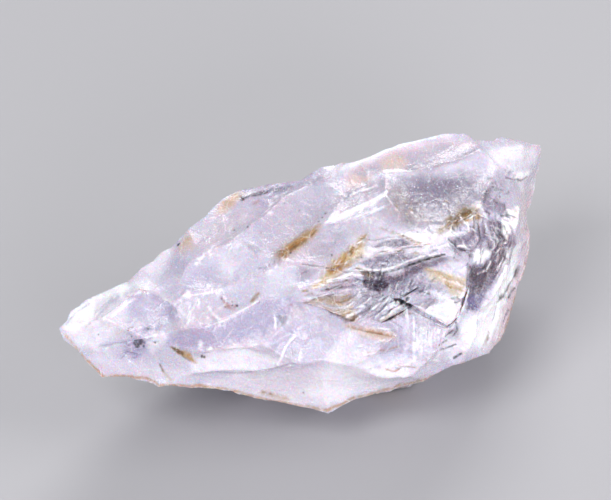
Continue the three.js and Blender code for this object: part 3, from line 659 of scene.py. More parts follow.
# %% Cracks
LINES += [
    # The black, night and smoke lines are painted shade: the dark in open cracks and under the
    # ledge. The near-white paint along the main crack is painted light against its groove's
    # shadow.
    ("black", 0.9, 2.0, 1.6, [(358, 270.5), (370, 272.5), (380, 273.5), (393, 270.5),
                              (404, 267)]),
    ("black", 1.0, 2.8, 1.4, [(402, 268, 0.5), (414, 263.5, 0.9), (424, 260, 1.2),
                              (435, 257, 1.1), (445, 254.5, 0.6)]),
    ("black", 1.0, 2.0, 1.4, [(406, 267), (420, 261.5), (431, 258), (441, 256)]),
    ("crack wall painted light", 1.0, 8, 2, [(409, 306.5, 0.8), (419, 311), (428, 316), (437, 322),
                                    (446, 326.5, 0.9), (450, 325.5, 0.4)]),
    ("crack wall painted light", 1.0, 6, 2, [(450, 326), (456, 320), (459, 309), (463, 300), (466, 290)]),
    ("night", 0.3, 1.2, 1.3, [(411, 305.5), (420, 309), (427, 312.5), (434, 317), (449, 325)]),
    ("night", 0.5, 1.4, 1.3, [(407, 307.5), (418, 313), (425, 317), (435, 324.5), (444, 328.5),
                              (450, 327)]),
    ("night", 0.5, 1.3, 1.5, [(450, 327), (455, 321), (457, 315), (461, 308), (463, 299)]),
    ("night", 0.6, 1.4, 1.5, [(464, 298), (467, 286), (467, 272), (468, 264)]),
    ("night", 0.7, 1.6, 1.5, [(456, 322), (457, 331), (453, 336)]),
    ("black", 0.95, 6, 3, [(397, 302), (409, 305)]),
    ("black", 0.8, 2, 1.6, [(400, 298), (408, 292), (417, 289), (430, 294.5)]),
    ("black", 0.75, 1.8, 1.6, [(452, 298.5), (458, 297), (461, 300), (455, 302.5)]),
    ("black", 0.9, 1.6, 1.5, [(439, 344.5), (447, 341)]),
    ("black", 0.8, 1.8, 1.6, [(440, 350.5), (456, 345)]),
    ("night", 0.8, 2.4, 1.8, [(454, 358), (461, 354.5)]),
    ("night", 0.7, 2, 1.8, [(446, 336), (452, 331)]),
    ("black", 0.8, 2, 1.8, [(449, 240), (456, 244), (463, 250)]),
    ("black", 0.7, 1.8, 1.6, [(463, 243), (466, 250)]),
    ("night", 0.7, 1.8, 1.6, [(452, 232), (460, 240)]),
    ("night", 0.6, 1.6, 1.6, [(456, 250), (454, 258)]),
    ("black", 0.85, 1.5, 1.5, [(519, 266), (516, 276), (510, 283), (506, 292), (502, 300)]),
    ("black", 0.8, 1.4, 1.5, [(514, 288), (509, 298)]),
    ("black", 0.7, 1.4, 1.5, [(508, 310), (504, 321)]),
    ("night", 0.5, 1.3, 1.6, [(499, 303), (498, 309)]),
    ("night", 0.75, 1.6, 1.6, [(507, 177), (514, 179), (522, 181), (527, 177)]),
    ("night", 0.6, 1.5, 1.6, [(484, 200), (487, 192)]),
    ("night", 0.6, 1.5, 1.6, [(492, 197), (497, 203)]),
    ("smoke", 0.5, 1.5, 2, [(504, 250), (500, 266), (490, 284)]),
    ("smoke", 0.5, 1.5, 2, [(510, 246), (506, 264), (496, 282)]),
    ("night", 0.7, 2.5, 2, [(466, 308), (474, 309)]),
    ("night", 0.5, 1.6, 1.8, [(472, 288), (484, 284)]),
]
print("narrow marks so far:", len(LINES))

# %% [markdown]
# ## Specks
# Tiny dark grains of iron ore sit here and there in the quartz. Little black spheres
# would show them, but at 0.1 mm they are no more than dots, so each is a painted spot.
# Each is an (x, y, size), in pixels.

# %% Black specks
SPECKS = [
    (178, 245, 2.6), (179, 244, 1.8), (202, 357.2, 2.6), (204.6, 358, 2.2), (137.5, 346, 5),
    (141, 343.5, 4), (136, 341.5, 3), (144, 346, 2.4), (155, 343, 1.8), (248, 227, 1.7),
    (234, 230, 1.4), (261, 232.5, 1.6), (284, 203, 1.6), (325, 213, 1.4), (343, 196, 1.6),
    (318, 221, 1.4), (332, 255, 1.8), (403, 235, 1.9), (303, 393, 1.4), (291, 253, 1.8),
    (299, 211, 1.3),
    (322, 217, 1.4), (493, 187, 2), (486, 191, 1.7), (500, 196, 1.5), (369, 240, 1.4),
    (362, 257, 1.4), (376, 262, 1.4), (442, 255, 2), (128, 330, 1.5), (148, 328, 1.5),
    (132, 336, 1.5), (98, 334, 1.2), (384, 290, 1.8), (376, 298, 1.6), (360, 290, 1.4),
    (352, 285, 1.4), (340, 316, 1.6), (417, 231, 1.4), (221.5, 298, 1.4), (228, 303, 1.3),
    (232, 306, 1.5), (236.5, 306, 2.2), (225, 307, 1.3),
]
print("specks:", len(SPECKS))

# %% [markdown]
# ## Fields of small ticks
# Among the cracks the quartz is splintered, and each splinter shows as a short light or
# dark tick. Hundreds of them can't be drawn by hand, and a noise pattern would have no
# direction. All of a field's ticks lean about the same way, so they are drawn at random,
# always from the same seed: (outline, count, angle, spread, length, width, pigments).

# %% Where the ticks are
TICK_FIELDS = [
    ([(446, 228), (478, 212), (500, 200), (512, 215), (508, 240), (490, 250), (462, 258),
      (446, 244)], 90, 60, 55, 8, 1.5, ("mauve", "night", "white", "pale grey", "smoke", "white")),
    ([(362, 274), (412, 268), (412, 290), (366, 294)], 40, 96, 10, 10, 1.3,
     ("smoke", "mauve", "pale grey", "mauve", "night")),
    ([(392, 278), (408, 276), (408, 294), (392, 296)], 12, 104, 8, 12, 1.4, ("white", "mauve")),
    ([(396, 296), (412, 298), (410, 308), (398, 306)], 14, 140, 40, 4, 1.6, ("white", "black")),
    ([(346, 292), (384, 294), (408, 300), (412, 310), (380, 324), (350, 318)], 80, 142, 16, 8, 1.4,
     ("white", "mauve", "grey", "white", "smoke")),
    ([(396, 318), (416, 314), (444, 332), (448, 354), (410, 360), (398, 346)], 46, 90, 3, 20, 1.2,
     ("soft white", "violet", "white", "pale grey")),
    ([(404, 284), (432, 276), (446, 296), (428, 308), (412, 302)], 34, 150, 30, 8, 1.4,
     ("mauve", "white", "night", "pale grey")),
    ([(468, 262), (492, 262), (508, 228), (513, 246), (506, 268), (484, 306), (468, 310)], 46,
     112, 12, 12, 1.3, ("smoke", "mauve", "pale grey", "mauve", "night", "smoke", "rose")),
    ([(486, 244), (504, 240), (506, 262), (490, 274)], 14, 120, 30, 7, 1.4, ("white", "smoke")),
    ([(524, 200), (531, 246), (513, 304), (498, 340), (480, 348), (496, 310), (514, 262)], 46,
     106, 8, 12, 1.1, ("umber", "white", "rose", "peach", "soft white")),
    ([(304, 264), (352, 262), (368, 290), (356, 322), (318, 312), (300, 292)], 76, 168, 14, 9, 1.3,
     ("umber", "olive", "white", "mauve", "soft white", "ochre")),
    ([(390, 246), (446, 240), (440, 254), (400, 266), (362, 268)], 36, 165, 18, 8, 1.3,
     ("mauve", "white", "olive", "grey")),
    ([(330, 326), (392, 326), (440, 346), (436, 368), (360, 372)], 36, 176, 14, 10, 1.0,
     ("soft white", "rust", "violet", "white")),
    ([(398, 190), (430, 200), (468, 196), (452, 214), (420, 224), (396, 216)],
     60, 20, 80, 1.8, 1.6, ("white", "ochre", "white", "smoke")),
    ([(482, 176), (520, 164), (530, 176), (506, 200), (486, 204)], 40, 150, 30, 6, 1.3,
     ("white", "mauve", "night", "pale grey")),
    ([(276, 192), (286, 190), (272, 214), (262, 218)], 12, 130, 20, 4, 1.6, ("white",)),
    ([(188, 264), (214, 244), (218, 248), (194, 268)], 14, 145, 20, 4, 1.6, ("white",)),
    ([(262, 262), (276, 258), (280, 272), (262, 276)], 12, 120, 50, 4, 1.4, ("white", "grey")),
    ([(126, 322), (150, 318), (158, 348), (130, 360)], 26, 160, 24, 6, 1.2,
     ("deep violet", "white", "violet")),
    ([(196, 342), (212, 340), (210, 350), (196, 350)], 8, 150, 20, 4, 1.4, ("white",)),
    ([(331, 262), (338, 254), (350, 246), (364, 236), (368, 242), (356, 256), (344, 267),
      (334, 272)], 46, 128, 24, 5, 1.2, ("umber", "rust", "cream", "ochre", "white", "umber")),
    ([(280, 254), (290, 245), (312, 230), (316, 232), (300, 246), (286, 257)], 26, 140, 12, 8, 1.3,
     ("umber", "rust", "ochre", "olive")),
    ([(442, 228), (456, 216), (476, 208), (478, 216), (460, 224)], 26, 145, 20, 6, 1.3,
     ("umber", "night", "ochre", "olive", "white")),
    ([(436, 270), (466, 280), (462, 294), (444, 288)], 24, 30, 16, 6, 1.2,
     ("ochre", "white", "olive", "cream")),
    ([(184, 292), (222, 286), (224, 322), (188, 326)], 24, 110, 40, 7, 1.2,
     ("white", "soft white")),
    ([(219, 295), (238, 299), (239, 311), (224, 309)], 14, 60, 70, 2.5, 1.3,
     ("red brown", "umber", "white", "rose")),
]
print("tick fields:", len(TICK_FIELDS))

# %% Whether a spot lies inside an outline
def inside_outline(x, y, outline):
    """Counts the sides to the right of the spot: an odd number means inside."""
    inside = False
    for (x0, y0), (x1, y1) in zip(outline, outline[1:] + outline[:1]):
        if (y0 > y) != (y1 > y) and x < x0 + (y - y0) / (y1 - y0) * (x1 - x0):
            inside = not inside
    return inside


# %% Draw the ticks
TICK_SEED = 7
TICK_HALF = (0.3, 0.8)  # half a tick's length, in shares of its field's length
TICK_THICK = (0.7, 1.3)  # its width, in shares of its field's width
TICK_STRENGTH = (0.45, 0.95)
TICK_FEATHER = 1.4  # pixels
TICK_SWELL = (0.5, 1.0, 0.4)  # its width at its start, middle and end


def tick_marks():
    """Draws the ticks of all fields, as narrow marks."""
    dice = random.Random(TICK_SEED)
    marks = []
    for outline, count, angle, spread, length, width, pigments in TICK_FIELDS:
        across = [x for x, y in outline]
        down = [y for x, y in outline]
        while count > 0:
            x, y = dice.uniform(min(across), max(across)), dice.uniform(min(down), max(down))
            if not inside_outline(x, y, outline):
                continue
            count -= 1
            turn = math.radians(angle + dice.uniform(-spread, spread))
            half = length * dice.uniform(*TICK_HALF)
            run_x, run_y = math.cos(turn) * half, math.sin(turn) * half
            spots = ((x - run_x, y - run_y), (x, y), (x + run_x, y + run_y))
            path = [(*spot, swell) for spot, swell in zip(spots, TICK_SWELL)]
            thick = width * dice.uniform(*TICK_THICK)
            pigment = dice.choice(pigments)
            marks.append((pigment, dice.uniform(*TICK_STRENGTH), thick, TICK_FEATHER, path))
    return marks


TICKS = tick_marks()
print("ticks:", len(TICKS))

# %% [markdown]
# ## Brushes
# A brush needs to know where the camera sees each point of the mesh, and how far that
# spot is from the brush's path. Image textures would do the same, but they would carry
# pictures into the scene. These brushes work on all points at once, as rows of numbers,
# and give each point a cover from 0 to 1.

# %% Where the camera sees a place
def picture_places(places):
    """Where the camera sees each place, in pixels of the photograph."""
    offset = places - np.array(camera.location)
    depth = offset @ -np.array(to_camera)
    spread = distance / depth * PIXELS_PER_MM / MM
    across = PHOTO_WIDTH / 2 + offset @ np.array(picture_right) * spread
    down = PHOTO_HEIGHT / 2 - offset @ np.array(picture_up) * spread
    return np.column_stack([across, down])


middle_pixel = picture_places(np.array([sight_point]))[0]
print("the camera's middle pixel:", [round(float(value), 1) for value in middle_pixel])

# %% Soft borders
def smooth_step(value):
    """0 below 0, 1 above 1 and an easy curve between."""
    value = np.clip(value, 0, 1)
    return value * value * (3 - 2 * value)


def rise(value, start, span):
    """0 up to a start, 1 from a span further on and an easy curve between."""
    return smooth_step((value - start) / span)


# %% How far a spot is from a path
def legs(path):
    """A path's corners, and the share of its length at each of them."""
    corners = np.array([spot[:2] for spot in path], float)
    lengths = np.linalg.norm(np.diff(corners, axis=0), axis=1)
    return corners, np.concatenate([[0], np.cumsum(lengths)]) / lengths.sum()


def along(spots, path):
    """For each spot, how far it lies below a path that runs to the right, and the share
    of the path where it is nearest. Above the path the distance is negative."""
    corners, starts = legs(path)
    best = np.full(len(spots), np.inf)
    side = np.ones(len(spots))
    share = np.zeros(len(spots))
    for index, (start, end) in enumerate(zip(corners, corners[1:])):
        run = end - start
        local = np.clip((spots - start) @ run / (run @ run), 0, 1)
        offset = spots - start - local[:, None] * run
        away = np.hypot(offset[:, 0], offset[:, 1])
        nearer = away < best
        best[nearer] = away[nearer]
        side[nearer] = np.where(run[0] * offset[nearer, 1] >= run[1] * offset[nearer, 0], 1, -1)
        here = starts[index] + local * (starts[index + 1] - starts[index])
        share[nearer] = here[nearer]
    return best * side, share


def close_to(spots, path, reach):
    """The numbers of the spots in the box around a path, widened by a reach."""
    corners = np.array([spot[:2] for spot in path], float)
    low_corner, high_corner = corners.min(axis=0) - reach, corners.max(axis=0) + reach
    return np.flatnonzero(((spots > low_corner) & (spots < high_corner)).all(axis=1))


# %% A brush line and a filled outline
def stroke(spots, path, width, feather):
    """How much a brush line covers each spot. A third number in a path's spot swells it."""
    cover = np.zeros(len(spots))
    close = close_to(spots, path, width + feather)
    away, share = along(spots[close], path)
    swells = [spot[2] if len(spot) == 3 else 1.0 for spot in path]
    half = width / 2 * np.interp(share, legs(path)[1], swells)
    cover[close] = smooth_step((half + feather / 2 - np.abs(away)) / feather)
    return cover


def patch(spots, outline, feather):
    """How much a filled outline covers each spot, with a soft border."""
    cover = np.zeros(len(spots))
    close = close_to(spots, outline, feather)
    near = spots[close]
    ring = list(outline) + [outline[0]]
    away, _ = along(near, ring)
    inside = np.zeros(len(near), bool)
    for (x0, y0), (x1, y1) in zip(ring, ring[1:]):
        if y0 != y1:
            crosses = (near[:, 1] > min(y0, y1)) & (near[:, 1] <= max(y0, y1))
            edge_x = x0 + (near[:, 1] - y0) / (y1 - y0) * (x1 - x0)
            inside ^= crosses & (near[:, 0] < edge_x)
    cover[close] = smooth_step(0.5 + np.where(inside, 1, -1) * np.abs(away) / feather)
    return cover


# %% [markdown]
# ## A finer mesh, finest at the marks
# The relief and the marks need points close together, but a stone that is fine all over
# would be too heavy. A subdivision would split every triangle alike. So only the edges
# that are too long for their place are cut: the far side keeps long ones, the side that
# faces the camera gets shorter ones, and the thinnest marks the shortest.

# %% Read a mesh as rows of numbers
def point_array(mesh):
    """The places of a mesh's points, one row each, in metres."""
    places = np.empty(len(mesh.vertices) * 3, np.float32)
    mesh.vertices.foreach_get("co", places)
    return places.reshape(-1, 3).astype(float)


def normal_array(mesh):
    """The outward directions of a mesh's points, one row each."""
    normals = np.empty(len(mesh.vertices) * 3, np.float32)
    mesh.vertex_normals.foreach_get("vector", normals)
    return normals.reshape(-1, 3).astype(float)


def edge_array(mesh):
    """The two point numbers of every edge."""
    ends = np.empty(len(mesh.edges) * 2, np.int32)
    mesh.edges.foreach_get("vertices", ends)
    return ends.reshape(-1, 2)


# %% Cut chosen edges in two
def split_edges(piece, chosen):
    """Cuts the chosen edges in two and turns everything back into triangles."""
    pick_only(piece)
    bpy.ops.object.mode_set(mode="EDIT")
    bpy.ops.mesh.select_mode(type="EDGE")
    bpy.ops.mesh.select_all(action="DESELECT")
    bpy.ops.object.mode_set(mode="OBJECT")
    piece.data.edges.foreach_set("select", chosen)
    bpy.ops.object.mode_set(mode="EDIT")
    bpy.ops.mesh.subdivide(number_cuts=1, ngon=False)
    bpy.ops.mesh.select_all(action="SELECT")
    bpy.ops.mesh.quads_convert_to_tris(quad_method="SHORTEST_DIAGONAL")
    bpy.ops.object.mode_set(mode="OBJECT")


# %% How fine each part of the stone is
BACK_EDGE = 0.55  # mm, the longest edge of a triangle out of sight
FACE_EDGE = 0.36  # mm, on the side that faces the camera
BUSY_EDGE = 0.18  # mm, among the cracks and steps
MARK_EDGE = 0.18  # mm, where a narrow mark lies
THIN_EDGE = 0.11  # mm, where a mark is thinner than THIN_WIDTH
THIN_WIDTH = 2.5  # pixels
MARK_REACH = 2.0  # pixels around a narrow mark
BUSY_BORDER = 4  # pixels
BUSY = [(352, 258), (392, 240), (440, 228), (470, 200), (505, 186), (516, 210), (514, 262),
        (500, 310), (462, 352), (430, 352), (396, 330), (352, 326), (322, 308), (330, 280)]


def longest_allowed(spots):
    """The longest edge, in mm, that the mesh may have at each spot of the picture."""
    finest = np.where(patch(spots, BUSY, BUSY_BORDER) > 0.5, BUSY_EDGE, FACE_EDGE)
    for pigment, strength, width, feather, path in LINES:
        close = close_to(spots, path, width / 2 + MARK_REACH)
        near = close[np.abs(along(spots[close], path)[0]) < width / 2 + MARK_REACH]
        finest[near] = np.minimum(finest[near], THIN_EDGE if width < THIN_WIDTH else MARK_EDGE)
    for x, y, size in SPECKS:
        finest[np.hypot(spots[:, 0] - x, spots[:, 1] - y) < size / 2 + MARK_REACH] = THIN_EDGE
    return finest


# %% Split the long edges
SPLIT_PASSES = 4
SEEN = 0.05  # least lean to the camera of a point that it sees

for split_pass in range(SPLIT_PASSES):
    points = point_array(stone.data)
    turned = normal_array(stone.data) @ np.array(to_camera)
    ends = edge_array(stone.data)
    lengths = np.linalg.norm(points[ends[:, 0]] - points[ends[:, 1]], axis=1) / MM
    limit = np.full(len(ends), BACK_EDGE)
    seen = np.flatnonzero(turned[ends].max(axis=1) > SEEN)
    limit[seen] = longest_allowed(picture_places(points[ends[seen]].mean(axis=1)))
    split_edges(stone, lengths > limit)
    print("pass", split_pass + 1, "faces:", len(stone.data.polygons))


# %% [markdown]
# ## Rounder facets
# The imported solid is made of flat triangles, but a broken face of quartz is a smooth
# scoop. A subdivision surface would round the ridges too. So the sharp ridges are
# selected by their angle and left alone, and a Smooth modifier relaxes only the points
# inside the facets.

# %% Find the ridges
RIDGE_ANGLE = math.radians(14)

pick_only(stone)
bpy.ops.object.mode_set(mode="EDIT")
bpy.ops.mesh.select_mode(type="EDGE")
bpy.ops.mesh.select_all(action="DESELECT")
bpy.ops.mesh.edges_select_sharp(sharpness=RIDGE_ANGLE)
bpy.ops.object.mode_set(mode="OBJECT")
ridge_flags = np.zeros(len(stone.data.edges), bool)
stone.data.edges.foreach_get("select", ridge_flags)
ridge_points = np.unique(edge_array(stone.data)[ridge_flags])
print("ridge points:", len(ridge_points), "of", len(stone.data.vertices))

# %% Relax the insides of the facets
RELAX_SHARE = 0.5  # of the way to the middle of its neighbours, in each pass
RELAX_PASSES = 14

inside_points = np.setdiff1d(np.arange(len(stone.data.vertices)), ridge_points)
inside_group = stone.vertex_groups.new(name="inside facets")
inside_group.add(inside_points.tolist(), 1.0, "REPLACE")
smoother = stone.modifiers.new("relax facets", "SMOOTH")
smoother.factor = RELAX_SHARE
smoother.iterations = RELAX_PASSES
smoother.vertex_group = inside_group.name
bpy.ops.object.modifier_apply(modifier=smoother.name)
print("relaxed points:", len(inside_points))

# %% [markdown]
# ## Unsteady hand
# Nature draws no straight line. The paths could be given many more spots, but it is
# quicker to let a slow noise shift each point's spot on the picture a little, so that
# every wash and mark wanders as it would in stone.

# %% Slow noise
def slow_noise(spots, size_mm, seed):
    """Smooth noise from about -1 to 1 at each place, with grains of the given size."""
    scale = 1 / (size_mm * MM)
    shift = Vector((seed * 7.31, seed * 3.17, seed * 5.83))
    return np.array([noise.noise(Vector(spot) * scale + shift) for spot in spots])


# %% The points as the picture shows them
FACING_START, FACING_SPAN = -0.02, 0.2  # leans to the camera over which the marks fade in
WOBBLE_MM = 0.9
WOBBLE_PIXELS = 3.0
LINE_WOBBLE_PIXELS = 1.1

places = point_array(stone.data)
normals = normal_array(stone.data)
facing = rise(normals @ np.array(to_camera), FACING_START, FACING_SPAN)
hidden = 1 - facing
wobble = np.column_stack([slow_noise(places, WOBBLE_MM, 1), slow_noise(places, WOBBLE_MM, 2)])
picture = picture_places(places)
wash_spots = picture + wobble * WOBBLE_PIXELS
line_spots = picture + wobble * LINE_WOBBLE_PIXELS
print("points that the camera sees:", int((facing > 0.5).sum()), "of", len(places))

# %% [markdown]
# ## Fine relief
# A broken face of quartz is a smooth scoop crossed by small steps, ripples and chips. They
# catch the light from a step away, so they are real shape: every point is moved a little
# along its outward direction, by fields in millimetres that are added up. A bump map alone
# would leave the outline and the shadows smooth, and the tools of edit mode don't know
# where in the photograph a step lies. The first field holds the small steps that the face
# shows. Each is a (height in mm, reach in pixels, path).

# %% Small steps of the face
# The ground below a path that runs to the right drops by the height and rises again
# over the reach. A negative height drops the ground above the path.
STEPS = [
    (0.16, 10, [(143, 290), (160, 297), (174, 307), (182, 325)]),
    (-0.14, 12, [(186, 326), (190, 310), (200, 298)]),
    (0.12, 9, [(205, 300), (213, 312), (222, 320)]),
    (0.14, 12, [(184, 296), (204, 293), (224, 289)]),
    (0.16, 12, [(182, 328), (220, 322), (240, 312), (262, 300), (296, 295)]),
    (0.12, 9, [(228, 339), (236, 345), (248, 347), (262, 340)]),
    (-0.12, 10, [(266, 352), (280, 342), (296, 334), (314, 322)]),
    (0.14, 8, [(278, 316), (284, 328), (296, 336)]),
    (0.12, 8, [(300, 348), (312, 338), (326, 334)]),
    (0.14, 14, [(190, 356), (214, 351), (246, 350), (276, 356)]),
    (0.1, 10, [(192, 374), (222, 372), (258, 372), (298, 363)]),
    (0.12, 12, [(188, 264), (200, 255), (216, 246), (232, 238)]),
    (-0.14, 12, [(262, 216), (276, 202), (288, 192), (306, 184)]),
    (0.1, 8, [(243, 240), (252, 252), (264, 250)]),
    (-0.12, 14, [(262, 262), (284, 246), (306, 228), (322, 214)]),
    (0.14, 7, [(322, 226), (345, 217), (366, 209), (388, 198)]),
    (0.12, 8, [(352, 220), (368, 214), (386, 207)]),
    (-0.1, 12, [(330, 206), (350, 196), (376, 187)]),
    (0.12, 12, [(300, 262), (318, 264), (334, 268)]),
    (0.14, 9, [(308, 248), (322, 242), (338, 240)]),
    (0.2, 8, [(310, 289), (326, 282), (340, 278), (354, 276)]),
    (0.12, 6, [(304, 297), (324, 293), (352, 292)]),
    (0.16, 8, [(304, 304), (326, 303), (350, 306)]),
    (0.16, 7, [(316, 309), (336, 315), (356, 321)]),
    (0.12, 9, [(344, 327), (366, 332), (392, 337)]),
    (0.14, 8, [(366, 244), (384, 240), (410, 239)]),
    (0.14, 7, [(398, 251), (422, 244), (446, 246)]),
    (-0.1, 12, [(384, 171), (410, 169), (446, 164), (478, 151)]),
    (0.12, 10, [(394, 214), (416, 224), (444, 222), (466, 208)]),
    (0.12, 8, [(446, 228), (460, 219), (472, 210)]),
    (0.14, 8, [(482, 204), (490, 194), (508, 192)]),
    (0.14, 7, [(448, 239), (458, 246), (468, 250)]),
    (0.12, 6, [(410, 306), (424, 299), (448, 298)]),
    (0.14, 6, [(420, 314), (434, 306), (456, 301)]),
    (0.14, 7, [(408, 282), (422, 272), (440, 272), (456, 280)]),
    (0.12, 6, [(452, 298), (460, 296), (466, 302)]),
    (-0.16, 6, [(502, 240), (503, 222), (520, 206)]),
    (0.14, 7, [(510, 180), (518, 182), (530, 178)]),
    (0.14, 8, [(504, 160), (518, 161), (530, 156)]),
    (-0.12, 8, [(500, 322), (510, 296), (518, 268), (524, 240)]),
    (-0.12, 7, [(484, 342), (498, 312), (506, 284)]),
    (0.12, 9, [(372, 356), (396, 350), (424, 356)]),
    (0.1, 9, [(396, 366), (416, 369), (436, 362)]),
    (0.1, 10, [(86, 350), (110, 345), (134, 341), (156, 336)]),
    (-0.1, 10, [(92, 330), (104, 314), (124, 302)]),
    (0.1, 8, [(112, 360), (126, 352), (142, 356)]),
]
print("steps:", len(STEPS))

# %% The drop of a small step
STEP_LIP = 1.2  # pixels over which a step's edge falls
STEP_TAPER = 5  # a step dies out over the last fifth of its length at either end
STEP_REACHES = 4  # reaches from its path, past which a step is too weak to count


def step(height, reach, path):
    """The drop that a small step makes at each point, in mm."""
    fall = np.zeros(len(line_spots))
    close = close_to(line_spots, path, reach * STEP_REACHES)
    below, share = along(line_spots[close], path)
    below = below * (1 if height > 0 else -1)
    taper = smooth_step(np.minimum(share, 1 - share) * STEP_TAPER)
    drop = np.where(below > 0, np.exp(-below / reach), smooth_step(1 + below / STEP_LIP))
    fall[close] = -abs(height) * drop * taper * facing[close]
    return fall


# %% Flat chips
LEAN_MIX = 3.7  # makes neighbouring cells draw different leans


def chip_noise(spots, size_mm, seed):
    """Flat chips with steps between: each cell of a pattern is a plane that leans its
    own way. The value is in cell sizes."""
    scale = 1 / (size_mm * MM)
    shift = Vector((seed * 4.7, seed * 9.1, seed * 2.3))
    heights = np.empty(len(spots))
    for index, spot in enumerate(spots):
        place = Vector(spot) * scale + shift
        centre = noise.voronoi(place)[1][0]
        lean = noise.cell_vector(centre * LEAN_MIX) * 2 - Vector((1, 1, 1))
        heights[index] = (place - centre).dot(lean)
    return heights


# %% Saw-tooth ripples
TOOTH_SHIFT = 0.35  # pitches by which a ripple wanders
TOOTH_SHIFT_MM = 1.6  # size of that wandering


def teeth(outline, feather, angle, pitch, height):
    """Saw-tooth ripples inside an outline, a pitch in pixels apart and across an angle."""
    turn = math.radians(angle)
    travel = line_spots @ np.array([math.cos(turn), math.sin(turn)]) / pitch
    travel = travel + TOOTH_SHIFT * slow_noise(places, TOOTH_SHIFT_MM, 6)
    return height * (1 - travel % 1) * patch(line_spots, outline, feather) * facing


# %% [markdown]
# ## Room for carving
# The hidden sides have deeper flakes struck off than the face. A deep flake may not cut
# through a thin edge or change the outline that the camera sees. So each hidden point
# asks two things: how thick the stone is behind it, and how far away the rim is.

# %% Room behind each hidden point
THICK_ENOUGH = 4 * MM  # where the stone is thinner, the hidden side is carved less
RIM_REACH = 3 * MM  # this near the rim the carving fades out, so the outline stays
RAY_START = 0.02  # mm inside, where a ray starts, so that it misses its own face
EVERY = 2  # every second shown point is enough to find the rim

room = np.zeros(len(places))
shell = BVHTree.FromPolygons(
    [tuple(place) for place in places], [tuple(face.vertices) for face in stone.data.polygons]
)
shown = np.flatnonzero(facing > 0.5)[::EVERY]
shown_tree = KDTree(len(shown))
for index in shown:
    shown_tree.insert(places[index], int(index))
shown_tree.balance()
for index in np.flatnonzero(hidden > 0):
    inward = Vector(-normals[index])
    start = Vector(places[index]) + inward * RAY_START * MM
    thickness = shell.ray_cast(start, inward)[3] or 0.0
    rim_distance = shown_tree.find(places[index])[2]
    room[index] = min(thickness / THICK_ENOUGH, rim_distance / RIM_REACH)
room = smooth_step(room)
print("mean room of the hidden points:", round(float(room[hidden > 0.5].mean()), 2))

# %% [markdown]
# ## Chips all over
# Wide soft waves and two sizes of flat chips cover the whole stone. A displacement
# modifier with a texture could do it, but these fields can fade where the stone is calm:
# on the smooth bevel and on the frosted shoulder.

# %% Waves and chips
# Each field has a cell size and a height, both in mm.
WAVE_MM, WAVE_HEIGHT = 3.4, 0.06
CHIP_MM, CHIP_HEIGHT = 2.4, 0.075
SMALL_CHIP_MM, SMALL_CHIP_HEIGHT = 0.9, 0.05
CHIP_WANDER = 0.25  # mm
PLAIN_SHARE = 0.35  # share of the small chips that is left outside the busy part
BEVEL = [(188, 382), (222, 374), (262, 371), (300, 363), (352, 362), (356, 398), (328, 411),
         (262, 398), (224, 390)]
SHOULDER = [(396, 182), (440, 174), (480, 182), (470, 206), (440, 222), (408, 222)]
CALM_BORDER, BUSY_FADE = 10, 20  # pixels
BEVEL_CALM, SHOULDER_CALM = 0.8, 0.4  # shares of the chips that are taken off there

calm = 1 - BEVEL_CALM * patch(line_spots, BEVEL, CALM_BORDER)
calm = calm - SHOULDER_CALM * patch(line_spots, SHOULDER, CALM_BORDER)
busy = PLAIN_SHARE + (1 - PLAIN_SHARE) * patch(picture, BUSY, BUSY_FADE)
relief = WAVE_HEIGHT * slow_noise(places, WAVE_MM, 3)
chips = chip_noise(places + wobble[:, :1] * CHIP_WANDER * MM, CHIP_MM, 4)
relief += CHIP_HEIGHT * chips * calm
relief += SMALL_CHIP_HEIGHT * chip_noise(places, SMALL_CHIP_MM, 5) * calm * busy
print("waves and chips in mm:", relief.min().round(3), "to", relief.max().round(3))

# %% [markdown]
# ## Flakes of the hidden sides
# Broken quartz has shell-shaped breaks: flat flakes, and rings around the point where a
# flake was struck off. The photograph doesn't show these sides, so their breaks are like
# those in view. The carving goes inward, and hardly anything stands proud.

# %% Flakes and rings
# Each field has a cell size and a height, both in mm.
FLAKE_MM, FLAKE_HEIGHT = 4.6, 0.7
SMALL_FLAKE_MM, SMALL_FLAKE_HEIGHT = 2.0, 0.17
FLAKE_WANDER, SMALL_FLAKE_WANDER = 0.5, 0.3  # mm
MOST_OUTWARD = 0.1  # mm that a hidden chip may stand proud
# Each ring field is a (centre in mm, reach in mm).
RINGS = [((9, 12, 13), 9), ((-7, 12, 11), 8), ((18, 4, 4), 7), ((-2, 6, 3), 8)]
RING_PITCH = 1.5  # mm
RING_HEIGHT = 0.13  # mm
RING_WANDER = 0.5  # mm

flakes = chip_noise(places + wobble[:, :1] * FLAKE_WANDER * MM, FLAKE_MM, 7)
small_places = places + wobble[:, 1:] * SMALL_FLAKE_WANDER * MM
small_flakes = chip_noise(small_places, SMALL_FLAKE_MM, 8)
carving = FLAKE_HEIGHT * flakes
carving += SMALL_FLAKE_HEIGHT * small_flakes
for centre, reach in RINGS:
    away = np.linalg.norm(places / MM - np.array(centre), axis=1) + RING_WANDER * wobble[:, 0]
    ring = 1 - away / RING_PITCH % 1
    carving += RING_HEIGHT * (ring - 1) * smooth_step((reach - away) / reach)
relief += np.minimum(carving, MOST_OUTWARD) * hidden * room
print("deepest flake in mm:", round(float(-carving.min()), 2))

# %% [markdown]
# ## Steps and ripples of the face
# The steps drawn above go on next, and then the saw-tooth ripples of the splintered
# places: the slab over the crack, the banded facet, the hollow and the right edge.

# %% Add the steps and the ripples
CRACK_SLAB = [(350, 296), (384, 294), (412, 306), (392, 316), (372, 326), (346, 322)]
BANDED = [(412, 314), (444, 330), (446, 352), (414, 358), (396, 344)]
HOLLOW = [(364, 274), (392, 275), (412, 268), (410, 288), (392, 294), (366, 292)]
RIGHT_BAND = [(500, 310), (514, 262), (524, 236), (531, 250), (513, 304), (500, 340), (480, 350)]
